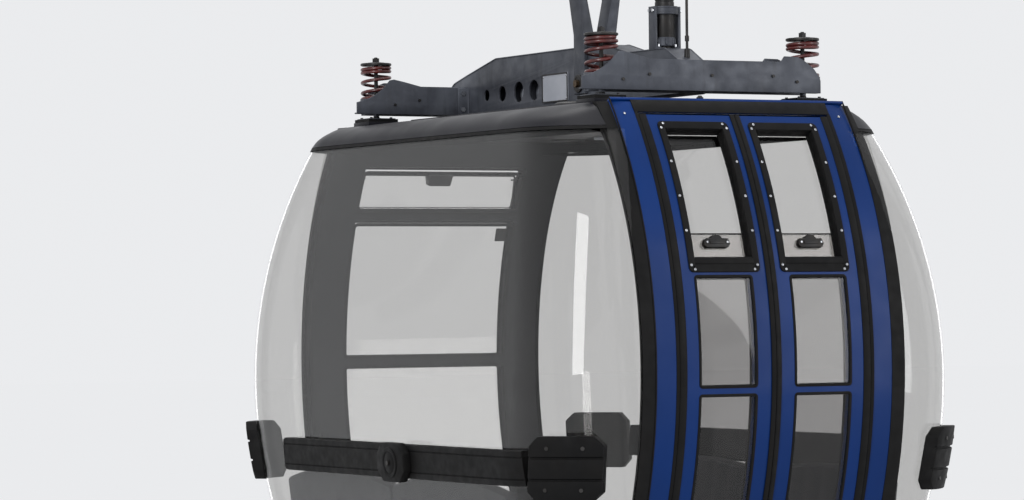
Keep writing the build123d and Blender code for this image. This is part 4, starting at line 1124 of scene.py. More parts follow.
@dataclass
class Bumpers:
    """The rubber rails on the glass ends with their caps, and the blocks round the corners."""

    corner: float = 0.3
    rail_drop: float = 1.135
    rail_half: float = 0.055
    rail_end: float = 0.69
    rail_proud: float = 0.03
    end_round: float = 0.02
    cap_y: float = 0.19
    block_half: float = 0.118
    block_drops: Pair = (1.035, 1.235)
    block_proud: float = 0.036
    chamfer: float = 0.03
    groove: float = 0.007

    def centre(self, drop: float, side_x: int, side_y: int) -> Vector:
        """The axis of a rounded corner at a drop."""
        end = WALL.trace(WALL.end, drop)[0] - self.corner
        side = WALL.trace(WALL.side, drop)[0] - self.corner
        return Vector((side_x * end, side_y * side, ROOF_Z - drop))

    def rail_station(self, side: int, along: float, section: list[Pair]) -> list[Vector]:
        """One section of a rail, a way along from its free end, bent round the corner past the flat."""
        points = []
        for drop, proud in section:
            axis = self.centre(drop, side, side)
            run = along - self.rail_end - abs(axis.y)
            reach = self.corner + proud
            if run <= 0.0:
                points.append(Vector((axis.x + side * reach, side * (along - self.rail_end), axis.z)))
            else:
                turn = run / self.corner
                points.append(axis + Vector((side * math.cos(turn), side * math.sin(turn), 0.0)) * reach)
        return points

    def rail(self, side: int, name: str) -> None:
        """One rail, grooved along both edges, with a rounded free end."""
        top = self.rail_proud
        stations = []
        flats = [0.0, 0.003, 0.008, 0.014, 0.02] + [0.06 + 0.094 * step for step in range(17)]
        bends = [1.5765 + 0.0135 * step for step in range(9)]
        for along in flats + bends:
            fall = max(0.0, self.end_round - along)
            half = self.rail_half - self.end_round + math.sqrt(self.end_round ** 2 - fall ** 2)
            half = max(half, self.rail_half - self.end_round)
            ease = 1.0 if along > 0.004 else 0.88
            side_section = []
            for share, proud in (
                (1.0, -0.003), (1.0, 0.8 * top), (0.955, 0.95 * top), (0.89, top), (0.66, top), (0.63, 0.9 * top),
                (0.6, 0.9 * top), (0.57, top), (-0.57, top), (-0.6, 0.9 * top), (-0.63, 0.9 * top),
                (-0.66, top), (-0.89, top), (-0.955, 0.95 * top), (-1.0, 0.8 * top), (-1.0, -0.003),
            ):
                side_section.append((self.rail_drop - share * half, proud * ease if proud > 0 else proud))
            stations.append(self.rail_station(side, along, side_section))
        fitted(swept(f"rubber_rail_{name}", stations), CABIN, "black_rubber", f"bumper_rail_{name}")

    def cap(self, side: int, name: str) -> None:
        """The rail's thick cap: an octagon with a dished disc and one bolt."""
        middle = side * self.cap_y
        half_y, half_drop, cut = 0.095, 0.062, 0.036
        outline = []
        for u, v in ((1, -1), (1, 1), (-1, 1), (-1, -1)):
            corner = [(half_y - cut, half_drop), (half_y, half_drop - cut)]
            if u * v > 0:
                corner.reverse()
            outline += [(middle + u * a, self.rail_drop + v * b) for a, b in corner]

        def face(y: float, drop: float, proud: float) -> Vector:
            """A point over the glass end."""
            return WALL.on_end(y, drop, proud, side)

        low, high = self.rail_proud - 0.001, self.rail_proud + 0.03
        pieces = [prism("cap", outline, (low, high), face, 0.006)]
        at = face(middle, self.rail_drop, high)
        ring = [(0.0, 0.0035), (0.03, 0.0035), (0.033, 0.0015), (0.036, 0.001), (0.04, 0.0038), (0.048, 0.0038),
                (0.0505, 0.002), (0.051, -0.003), (0.0, -0.003)]
        pieces.append(turned("disc", ring, at, WALL.end_normal(self.rail_drop, side), 40))
        group(f"buffer_cap_{name}", pieces, CABIN, "black_rubber", f"rail_cap_{name}")
        spot = (face(middle, self.rail_drop, high + 0.0035), WALL.end_normal(self.rail_drop, side))
        fasteners(f"cap_bolt_{name}", [spot], 0.0085, Head.HEX, CABIN, "dark_steel")

    def spoke(self, side_x: int, side_y: int, chord: float, proud: float) -> Vector:
        """The way from a corner's axis to its face, a height above the glass and a chord aside."""
        facing = Vector((side_x, side_y, 0.0)).normalized()
        across = Vector((side_x, -side_y, 0.0)).normalized()
        return across * chord + facing * math.sqrt((self.corner + proud) ** 2 - chord ** 2)

    def block(self, side_x: int, side_y: int) -> bpy.types.Object:
        """One corner block in three segments, its four corners cut."""
        top, low = self.block_drops
        third = (low - top) / 3
        stations = []
        for share in (-1.0, -0.9, -0.75, -0.5, -0.25, 0.0, 0.25, 0.5, 0.75, 0.9, 1.0):
            chord = share * self.block_half
            cut = max(0.0, self.chamfer - self.block_half * (1 - abs(share)))
            profile = [(top + cut, -0.003), (top + cut, self.block_proud)]
            for number in (1, 2):
                for at, sunk in ((-1, 0.0), (-1, 1.0), (1, 1.0), (1, 0.0)):
                    drop = top + number * third + at * self.groove / 2
                    profile.append((drop, self.block_proud - sunk * self.groove))
            profile += [(low - cut, self.block_proud), (low - cut, -0.003)]
            stations.append([self.centre(drop, side_x, side_y) + self.spoke(side_x, side_y, chord, proud)
                             for drop, proud in profile])
        return bevelled(swept("block", stations), 0.0035, 3)

    def bolt(self, side_x: int, side_y: int, chord: float, drop: float) -> Spot:
        """A bolt's place on a block."""
        facing = Vector((side_x, side_y, 0.0)).normalized()
        across = Vector((side_x, -side_y, 0.0)).normalized()
        reach = math.sqrt((self.corner + self.block_proud) ** 2 - chord ** 2) - 0.0052
        spoke = across * chord + facing * reach
        return self.centre(drop, side_x, side_y) + spoke, spoke

    def build(self) -> None:
        """Make every piece."""
        for side, name in SIDES:
            self.rail(side, name)
            self.cap(side, name)
        corners = [(side_x, side_y) for side_x in SIGNS for side_y in SIGNS]
        blocks = [self.block(*corner) for corner in corners]
        group("rubber_blocks", blocks, CABIN, "black_rubber", "corner_blocks")
        spots = [self.bolt(*corner, chord, drop) for corner in corners for chord in (-0.056, 0.056)
                 for drop in (1.072, 1.199)]
        fasteners("block_bolts", spots, 0.0062, Head.SOCKET, CABIN, "dark_steel")


def eased(points: list[Pair], radius: float, steps: int = 6) -> list[Pair]:
    """A path with each inner corner turned into an arc.

    Args:
        points: The path's corners.
        radius: The arcs' radius.
        steps: How many parts each arc has.

    Returns:
        The path's points with the arcs in place.
    """
    path = [points[0]]
    for before, here, after in zip(points, points[1:], points[2:]):
        back = (Vector(before) - Vector(here)).normalized()
        ahead = (Vector(after) - Vector(here)).normalized()
        bend = math.pi - back.angle(ahead)
        if bend < 0.02:
            path.append(here)
            continue
        reach = radius * math.tan(bend / 2)
        centre = Vector(here) + (back + ahead).normalized() * (radius / math.cos(bend / 2))
        start = Vector(here) + back * reach - centre
        end = Vector(here) + ahead * reach - centre
        for step in range(steps + 1):
            spoke = start.lerp(end, step / steps).normalized() * radius
            path.append(tuple(centre + spoke))
    path.append(points[-1])
    return path


@dataclass
class RoofFrame:
    """What is fitted to the sprung frame: bolts, lips, welds, spring seats, stems and pads."""

    spring_x: float = 0.37
    spring_y: float = 0.8
    low: float = 0.028
    top: float = 0.126
    spine_half: float = 0.046
    spine: tuple[Pair, ...] = (
        (0.858, 0.127), (0.846, 0.142), (0.73, 0.169), (0.522, 0.214), (-0.25, 0.214), (-0.4, 0.178),
        (-0.64, 0.178), (-0.738, 0.126),
    )
    spine_holes: tuple[Pair, ...] = (
        (0.59, 0.04), (0.475, 0.054), (0.354, 0.07), (0.245, 0.07), (-0.33, 0.066), (-0.43, 0.054),
    )
    hole_rise: float = 0.09
    spine_end: float = 0.738
    weld_end: float = 0.728
    ease: float = 0.06
    plate_y: Pair = (0.7285, 0.7385)
    number_plate: Four = (0.002, 0.18, 0.042, 0.138)
    web_bolts: tuple[Pair, ...] = ((-0.328, 0.061), (-0.233, 0.078), (-0.006, 0.078), (0.22, 0.08), (0.309, 0.063))
    right_cheek: tuple[Pair, ...] = (
        (0.399, 0.028), (0.399, 0.068), (0.389, 0.087), (0.374, 0.106), (0.351, 0.123), (0.33, 0.136),
        (0.312, 0.143), (0.264, 0.144), (0.25, 0.126),
    )
    left_cheek: tuple[Pair, ...] = (
        (-0.226, 0.126), (-0.29, 0.141), (-0.33, 0.149), (-0.346, 0.146), (-0.367, 0.122), (-0.388, 0.105),
        (-0.41, 0.09), (-0.438, 0.078), (-0.474, 0.068), (-0.474, 0.028),
    )
    beam_half: float = 0.062
    sheet: float = 0.006
    riser_x: float = 0.299
    shelf_rise: float = 0.076

    def channel(self, name: str, middle: float) -> bpy.types.Object:
        """One cross beam: a long web towards the doors, a short one behind it, a top and two spring shelves."""
        near, far = middle - self.beam_half, middle + self.beam_half
        between = (near + 0.002, far - 0.002)
        short = [(-x, rise) for x, rise in reversed(self.right_cheek)]
        pieces = [
            prism("near_web", list(self.right_cheek + self.left_cheek), (near, near + self.sheet), upright, 0.0014),
            prism("far_web", list(self.right_cheek) + short, (far - self.sheet, far), upright, 0.0014),
            box("top", (-self.riser_x, self.riser_x), between, (self.top - self.sheet, self.top), 0.0012),
        ]
        inner = self.beam_half - self.sheet
        for side in SIGNS:
            bow = [(side * (self.spring_x + inner * math.sin(a)), middle - inner * math.cos(a))
                   for a in (math.pi * step / 16 for step in range(17))]
            outline = [(side * self.riser_x, near + self.sheet)] + bow + [(side * self.riser_x, far - self.sheet)]
            pieces.append(prism("shelf", outline, (self.shelf_rise - self.sheet, self.shelf_rise), level, 0.001))
            riser = limits(side, self.riser_x - self.sheet, self.riser_x)
            pieces.append(box("riser", riser, between, (self.shelf_rise, self.top - 0.001), 0.0012))
        return joined(name, pieces)

    def beams(self) -> None:
        """The two cross beams, the lips under their webs, the end plates and every bolt of the frame."""
        fitted(self.channel("cross_beam_door", -self.spring_y), CABIN, "zinc", "frame_beam_door")
        fitted(self.channel("cross_beam_back", self.spring_y), CABIN, "zinc", "frame_beam_back")
        pieces = []
        web_spots = []
        plate_spots = []
        for side in SIGNS:
            near, far = side * self.spring_y - self.beam_half, side * self.spring_y + self.beam_half
            pieces.append(box("lip", (-0.472, 0.397), (near + 0.005, near + 0.026), (self.low, self.low + 0.005)))
            pieces.append(box("lip", (-0.397, 0.397), (far - 0.026, far - 0.005), (self.low, self.low + 0.005)))
            plate_y = limits(side, *self.plate_y)
            pieces.append(box("end_plate", (-0.085, 0.085), plate_y, (self.low + 0.002, self.top - 0.004), 0.002))
            for x in (-0.068, 0.068):
                for rise in (0.048, 0.104):
                    plate_spots.append((level(x, side * self.plate_y[0], rise), Vector((0, -side, 0))))
            for x, rise in self.web_bolts:
                web_spots.append((level(x, near + 0.0006, rise), Vector((0, -1, 0))))
                web_spots.append((level(x, far - 0.0006, rise), Vector((0, 1, 0))))
            for x in (-0.255, 0.255):
                gusset = rect(x - 0.003, x + 0.003, side * 0.742, side * 0.858)
                pieces.append(prism("gusset", gusset, (0.07, 0.12), level, 0.001))
        group("frame_lips", pieces, CABIN, "zinc")
        fasteners("web_bolts", web_spots, 0.005, Head.SOCKET, CABIN, "dark_steel")
        fasteners("plate_bolts", plate_spots, 0.0085, Head.HEX, CABIN, "bright_steel")

    def girder(self) -> None:
        """The spine: two pierced webs with a top and a bottom plate."""
        top = eased(list(self.spine), self.ease)[1:]
        end, ledge = self.spine_end, self.top + 0.0002
        outline = [(-end, self.low), (end, self.low), (end, ledge), (self.spine[0][0], ledge)] + top
        half, sheet = self.spine_half, self.sheet
        pieces = []
        for side in SIGNS:
            web = prism("web", outline, limits(side, half - sheet, half), sideways)
            for y, size in self.spine_holes:
                rod = [(0.0, -0.02), (size / 2, -0.02), (size / 2, 0.02), (0.0, 0.02)]
                middle = sideways(y, self.hole_rise, side * (half - sheet / 2))
                web = pierced(web, turned("cutter", rod, middle, TO_RIGHT))
            pieces.append(bevelled(web, 0.0014))
        flat = half - sheet + 0.0005
        stations = [[sideways(y, rise, -flat), sideways(y, rise, flat), sideways(y, rise - sheet, flat),
                     sideways(y, rise - sheet, -flat)] for y, rise in top]
        pieces.append(swept("top_plate", stations))
        pieces.append(box("low_plate", (-flat, flat), (-0.736, 0.736), (self.low, self.low + sheet), 0.0005))
        group("spine_girder", pieces, CABIN, "zinc", "frame_spine")

    def welds(self) -> None:
        """Weld beads along the spine's edges and where its ends meet the plates."""
        beads = []
        path = eased(list(self.spine), self.ease)[1:]
        for side in SIGNS:
            edge = side * (self.spine_half - 0.0008)
            beads.append(tube("bead", [sideways(y, rise - 0.001, edge) for y, rise in path], 0.0028, 8))
            low_run = [sideways(y, self.low + 0.001, edge) for y in (-self.weld_end, self.weld_end)]
            beads.append(tube("bead", low_run, 0.0028, 8))
            for end in SIGNS:
                run = [sideways(end * 0.7275, rise, side * (self.spine_half + 0.001)) for rise in (0.032, 0.12)]
                beads.append(tube("bead", run, 0.0032, 8))
        group("frame_welds", beads, CABIN, "zinc")

    def supports(self) -> None:
        """Each spring's dish, its stem with cap and nuts, and its pad's bolts."""
        dishes = []
        stems = []
        pads = []
        nuts = []
        tips = []
        bolts = []
        for x in (-self.spring_x, self.spring_x):
            for y in (-self.spring_y, self.spring_y):
                dish = [(0.0095, 0.0), (0.0555, 0.0), (0.0558, 0.006), (0.055, 0.007), (0.0542, 0.006),
                        (0.0535, 0.0022), (0.0095, 0.002), (0.0095, 0.0)]
                dishes.append(turned("dish", dish, level(x, y, 0.0762), UP, 40))
                rod = [(0.0, 0.012), (0.0068, 0.012), (0.0068, 0.198), (0.05, 0.1975), (0.0535, 0.1995),
                       (0.054, 0.203), (0.0535, 0.206), (0.05, 0.2075), (0.03, 0.2078), (0.029, 0.2098),
                       (0.017, 0.2098), (0.0165, 0.2078), (0.0062, 0.2078), (0.0062, 0.226), (0.0048, 0.228),
                       (0.0, 0.228)]
                stems.append(turned("stem", rod, level(x, y, 0.0), UP, 40))
                flange = [(0.007, 0.012), (0.03, 0.012), (0.03, 0.015), (0.02, 0.0165), (0.011, 0.018),
                          (0.0105, 0.0225), (0.007, 0.0225), (0.007, 0.012)]
                stems.append(turned("flange", flange, level(x, y, 0.0), UP, 32))
                nuts.append((level(x, y, 0.2098 + 0.005), UP))
                tips.append((level(x, y, 0.0225 + 0.002), UP))
                pads.append(box("pad_plate", (x - 0.05, x + 0.05), (y - 0.05, y + 0.05), (0.0115, 0.0148), 0.001))
                for dx in (-0.038, 0.038):
                    for dy in (-0.038, 0.038):
                        bolts.append((level(x + dx, y + dy, 0.0148), UP))
        group("spring_dishes", dishes, CABIN, "zinc")
        group("spring_rods", stems, CABIN, "dark_steel", "spring_stems")
        group("pad_plates", pads, CABIN, "zinc")
        fasteners("stem_nuts", nuts, 0.013, Head.HEX, CABIN, "dark_steel")
        fasteners("stem_low_nuts", tips, 0.011, Head.HEX, CABIN, "zinc")
        fasteners("pad_bolts", bolts, 0.0055, Head.HEX, CABIN, "dark_steel")

    def plate(self) -> None:
        """The blank number plate with its rim and rivets."""
        rim = [(-0.0045, 0.0), (-0.0045, 0.0018), (0.0, 0.0018), (0.0, 0.0)]
        path = round_rect(self.number_plate, 0.006, 4)

        def face(y: float, rise: float, proud: float) -> Vector:
            """A point over the plate."""
            return sideways(y, rise, -0.049 - proud)

        fitted(prism("blank_plate", path, (-0.003, 0.0), face), CABIN, "plate_white", "number_plate")
        fitted(moulding("plate_rim", path, [(-a, h) for a, h in rim], face), CABIN, "dark_steel")
        spots = [(face(y, rise, 0.0), Vector((-1, 0, 0))) for y in (0.012, 0.17) for rise in (0.052, 0.128)]
        fasteners("plate_rivets", spots, 0.0036, Head.ROUND, CABIN, "bright_steel")

    def build(self) -> None:
        """Make every piece."""
        self.beams()
        self.girder()
        self.welds()
        self.supports()
        self.plate()


@dataclass
class EndGlass:
    """The wrap-round glazing of the two ends: one smooth bent sheet each."""

    edge_x: float = 0.472
    drops: Pair = (0.1, 2.044)
    insets: Pair = (0.003, 0.009)
    rows: int = 40
    bend_steps: int = 12
    flat_steps: int = 8

    def edge(self, side: int, drop: float, inset: float) -> list[Vector]:
        """The sheet's line at a drop, from the door side round the end to the back."""
        half_x = WALL.half_at(WALL.end, drop, inset)
        half_y = WALL.half_at(WALL.side, drop, inset)
        quarter = [WALL.bend(drop, inset, QUARTER_TURN * (1 - step / self.bend_steps))
                   for step in range(self.bend_steps + 1)]
        flat = quarter[-1][1]
        line = [(self.edge_x, -half_y)] + [(x, -y) for x, y in quarter]
        line += [(half_x, flat * (2 * step / self.flat_steps - 1)) for step in range(1, self.flat_steps)]
        line += list(reversed(quarter)) + [(self.edge_x, half_y)]
        return [Vector((side * x, y, ROOF_Z - drop)) for x, y in line]

    def build(self) -> None:
        """Make both sheets."""
        top, low = self.drops
        for side, name in SIDES:
            stations = []
            for row in range(self.rows + 1):
                drop = top + (low - top) * row / self.rows
                outer, inner = (self.edge(side, drop, inset) for inset in self.insets)
                stations.append(outer + list(reversed(inner)))
            fitted(swept(f"end_pane_{name}", stations), CABIN, "clear_pane", f"end_glass_{name}")


@dataclass
class RoofShell:
    """The roof's lid: a smooth shell, well rounded over the glass ends and crisp over the doors and the back."""

    fascia: float = 0.0885
    skin: float = 0.0135
    trim_x: float = 0.46
    crisp: float = 0.026
    round_in: float = 0.088
    round_down: float = 0.076
    rows: int = 16
    wall: float = 0.022
    camber: float = 0.021
    camber_x: Pair = (0.3, 0.55)
    inner: tuple[float, ...] = (0.54, 0.62, 0.7, 0.78, 0.86, 0.93)
    flat_step: int = 4
    trim_step: int = 9
    bend_step: int = 20
    last_step: int = 26
    trim_tries: int = 18
    pad_x: Pair = (0.311, 0.429)
    pad_y: Pair = (0.74, 0.86)

    def fall(self, point: Vector) -> Vector:
        """Let a point of the lid down towards the ends, less so the lower it is."""
        low, high = self.camber_x
        share = smooth_step((abs(point.x) - low) / (high - low))
        left = max(0.0, 1.0 - (ROOF_Z - point.z) / self.fascia)
        return point - UP * (self.camber * share * left)

    def line(self, drop_of: Callable[[float, bool], float], inset_of: Callable[[float, float], float]) -> list[Vector]:
        """One closed line round the lid.

        Args:
            drop_of: The drop from how far a point is towards an end, and whether it is past the trim.
            inset_of: How far the line is set in, from the same share and the drop.

        Returns:
            The line's points, the same number for every line.
        """
        quarter = []
        flat, trimmed, bent, last = self.flat_step, self.trim_step, self.bend_step, self.last_step
        for step in range(last + 1):
            past = step > trimmed
            share = smooth_step((step - trimmed) / 9)
            drop = drop_of(share, past)
            inset = inset_of(share, drop)
            half_x = WALL.half_at(WALL.end, drop, inset)
            half_y = WALL.half_at(WALL.side, drop, inset)
            if step <= flat:
                quarter.append((WALL.bend(drop, inset, QUARTER_TURN)[0] * step / flat, half_y, drop))
            elif step <= bent:
                trim = self.trim_angle(drop, inset)
                angle = trim * (bent - step) / 10
                if step <= trimmed:
                    angle = QUARTER_TURN + (trim - QUARTER_TURN) * (step - flat) / (trimmed - flat)
                quarter.append((*WALL.bend(drop, inset, angle), drop))
            else:
                quarter.append((half_x, WALL.bend(drop, inset, 0.0)[1] * (last - step) / (last - bent), drop))
        loop = [(x, -y, d) for x, y, d in quarter[:-1]] + [(x, y, d) for x, y, d in reversed(quarter[1:])]
        loop += [(-x, y, d) for x, y, d in quarter[:-1]] + [(-x, -y, d) for x, y, d in reversed(quarter[1:])]
        return [Vector((x, y, ROOF_Z - d)) for x, y, d in loop]

    def trim_angle(self, drop: float, inset: float) -> float:
        """The way that the rounded corner faces where it crosses the trim, found by halving."""
        low, high = 0.0, QUARTER_TURN
        for _ in range(self.trim_tries):
            trim = (low + high) / 2
            low, high = (trim, high) if WALL.bend(drop, inset, trim)[0] > self.trim_x else (low, trim)
        return trim

    def rounding(self, share: float, drop: float) -> float:
        """How far the rounded edge is set in at a drop."""
        deep = self.crisp + (self.round_down - self.crisp) * share
        wide = self.crisp + (self.round_in - self.crisp) * share
        left = max(0.0, 1.0 - drop / deep)
        return wide * (1.0 - math.sqrt(1.0 - left * left))

    def build(self) -> None:
        """Make the lid and the blocks under its four pads."""
        stations = []
        for row in range(self.rows + 1):
            way = (row / self.rows) ** 1.7
            stations.append(self.line(lambda share, past: (self.fascia if past else self.skin) * way, self.rounding))
        stations.append(self.line(lambda share, past: self.fascia if past else self.skin,
                                  lambda share, drop: self.wall))
        stations.append(self.line(lambda share, past: self.skin + 0.0004, lambda share, drop: 2 * self.wall))
        edge = stations[0]
        flat = [[Vector((point.x * scale, point.y * scale, point.z)) for point in edge] for scale in self.inner]
        stations = [[self.fall(point) for point in ring] for ring in flat + stations]
        fitted(swept("roof_lid", stations), CABIN, "roof_grey", "roof_shell")
        bases = [box("base", limits(side_x, *self.pad_x), limits(side_y, *self.pad_y), (-0.014, 0.0015), 0.002)
                 for side_x in SIGNS for side_y in SIGNS]
        group("pad_bases", bases, CABIN, "roof_grey")


@dataclass
class Hanger:
    """The hanger's box arm with its eye, the bolted flange, the fork at its foot and the conduit."""

    path: tuple[Pair, ...] = ((0.19, -0.12), (0.19, -0.7), (-0.1, -1.18), (-0.1, -1.44))
    bend: float = 0.26
    width: float = 0.112
    thick: float = 0.084
    corner: float = 0.013
    pin_z: float = -0.078
    eye_y: Pair = (0.134, 0.246)
    foot_y: float = -0.1
    flange_z: float = -1.44
    flange_half: Pair = (0.074, 0.082)
    flange_rises: tuple[Pair, Pair] = ((-0.0135, -0.0008), (0.0008, 0.0135))
    rib_x: float = 0.055
    nut_rise: float = 0.0175
    foot_pin_rise: float = 0.093
    weld_radius: float = 0.0695
    weld_angle: float = 0.93
    clips: tuple[float, ...] = (0.06, 0.24, 0.42, 0.6, 0.78, 0.95)

    def along(self, a: float, b: float) -> list[Vector]:
        """The arm's path moved by a in its own plane and by b along X."""
        line = eased(list(self.path), self.bend, 14)
        moved = []
        for i, here in enumerate(line):
            ahead = Vector(line[min(i + 1, len(line) - 1)]) - Vector(line[max(i - 1, 0)])
            across = Vector((-ahead.y, ahead.x)).normalized()
            moved.append(Vector((b, here[0] + across.x * a, here[1] + across.y * a)))
        return moved

    def arm(self) -> None:
        """The arm, a rolled box section, with its eye and the eye's weld."""
        box_shape = (-self.width / 2, self.width / 2, -self.thick / 2, self.thick / 2)
        edges = [self.along(a, b) for a, b in round_rect(box_shape, self.corner, 4)]
        stations = [[edge[i] for edge in edges] for i in range(len(edges[0]))]
        length = self.eye_y[1] - self.eye_y[0]
        ring = [(0.0303, 0.0), (0.064, 0.0), (0.07, 0.0045), (0.07, length - 0.0045), (0.064, length),
                (0.0303, length), (0.0303, 0.0)]
        pieces = [swept("tube", stations), turned("eye", ring, Vector((0.0, self.eye_y[0], self.pin_z)), TO_BACK, 56)]
        group("hanger_tube", pieces, CABIN, "zinc", "hanger_arm")
        beads = []
        for a in (self.width / 2 - 0.002, -self.width / 2 + 0.002):
            beads.append(tube("bead", self.along(a, self.thick / 2 - 0.012), 0.0022, 8))
            beads.append(tube("bead", self.along(a, -self.thick / 2 + 0.012), 0.0022, 8))
        for side in SIGNS:
            x = side * self.weld_radius * math.cos(self.weld_angle)
            z = self.pin_z - self.weld_radius * math.sin(self.weld_angle)
            run = [Vector((x, y, z)) for y in (self.eye_y[0] + 0.008, self.eye_y[1] - 0.008)]
            beads.append(tube("bead", run, 0.0045, 8))
        group("hanger_welds", beads, CABIN, "zinc")

    def flange(self) -> None:
        """The two plates and the bolts that join the arm to its fork."""
        y = self.foot_y
        rise = self.flange_z - ROOF_Z
        plates = []
        half_x, half_y = self.flange_half
        for low, high in self.flange_rises:
            outline = round_rect((-half_x, half_x, y - half_y, y + half_y), 0.014, 4)
            plates.append(prism("plate", outline, (rise + low, rise + high), level, 0.0015))
        for x in (-self.rib_x, self.rib_x):
            rib = rect(y - 0.004, y + 0.004, rise + 0.013, rise + 0.06)
            inner = 0.041 if x > 0 else -0.041
            stations = [[sideways(u, v, inner) for u, v in rib],
                        [sideways(u, min(v, rise + 0.022), x * 1.27) for u, v in rib]]
            plates.append(swept("rib", stations))
        group("hanger_flange", plates, CABIN, "zinc")
        places = [(x, y + dy) for x in (-0.056, 0.056) for dy in (-0.064, 0.064)]
        places += [(0.0, y + dy) for dy in (-0.069, 0.069)]
        spots = [(level(x, at, rise + sign * self.nut_rise), UP * sign) for sign in (1, -1) for x, at in places]
        fasteners("flange_bolts", spots, 0.01, Head.HEX, CABIN, "bright_steel")

    def fork(self) -> None:
        """The fork with rounded edges, and the cross pin's washers and bolt."""
        fitted(softened("fork", "hanger_foot", 0.0035, 3), CABIN, "zinc", "hanger_foot")
        pieces = []
        for side in SIGNS:
            axis = Vector((side, 0.0, 0.0))
            foot = Vector((0.0, self.foot_y, ROOF_Z + self.foot_pin_rise))
            hub = [(0.0, 0.056), (0.029, 0.056), (0.03, 0.0625), (0.03, 0.0665), (0.0285, 0.0685),
                   (0.0215, 0.069), (0.0205, 0.0675), (0.0, 0.0675)]
            pieces.append(turned("hub", hub, foot, axis, 36))
            pieces.append(turned("shank", [(0.0, 0.0), (0.0168, 0.0), (0.0168, 0.057), (0.0, 0.057)], foot, axis, 28))
        group("foot_pin", pieces, CABIN, "bright_steel", "hanger_foot_pin", look="dark_steel")
        ends = [(Vector((side * 0.069, self.foot_y, ROOF_Z + self.foot_pin_rise)), Vector((side, 0, 0)))
                for side in SIGNS]
        fasteners("foot_bolts", ends, 0.0125, Head.HEX, CABIN, "bright_steel", look="aged_brass")

    def conduit(self) -> None:
        """The cable conduit down the arm's side with its clips."""
        line = self.along(0.02, self.thick / 2 + 0.0085)[1:-1]
        pieces = [tube("conduit", line, 0.007, 12)]
        for share in self.clips:
            at = line[round(share * (len(line) - 1))]
            pieces.append(box("clip", (self.thick / 2 - 0.001, self.thick / 2 + 0.018), (at.y - 0.018, at.y + 0.018),
                              (at.z - ROOF_Z - 0.006, at.z - ROOF_Z + 0.006), 0.002))
        group("hanger_conduit", pieces, CABIN, "dark_steel")

    def build(self) -> None:
        """Make every piece."""
        self.arm()
        self.flange()
        self.fork()
        self.conduit()


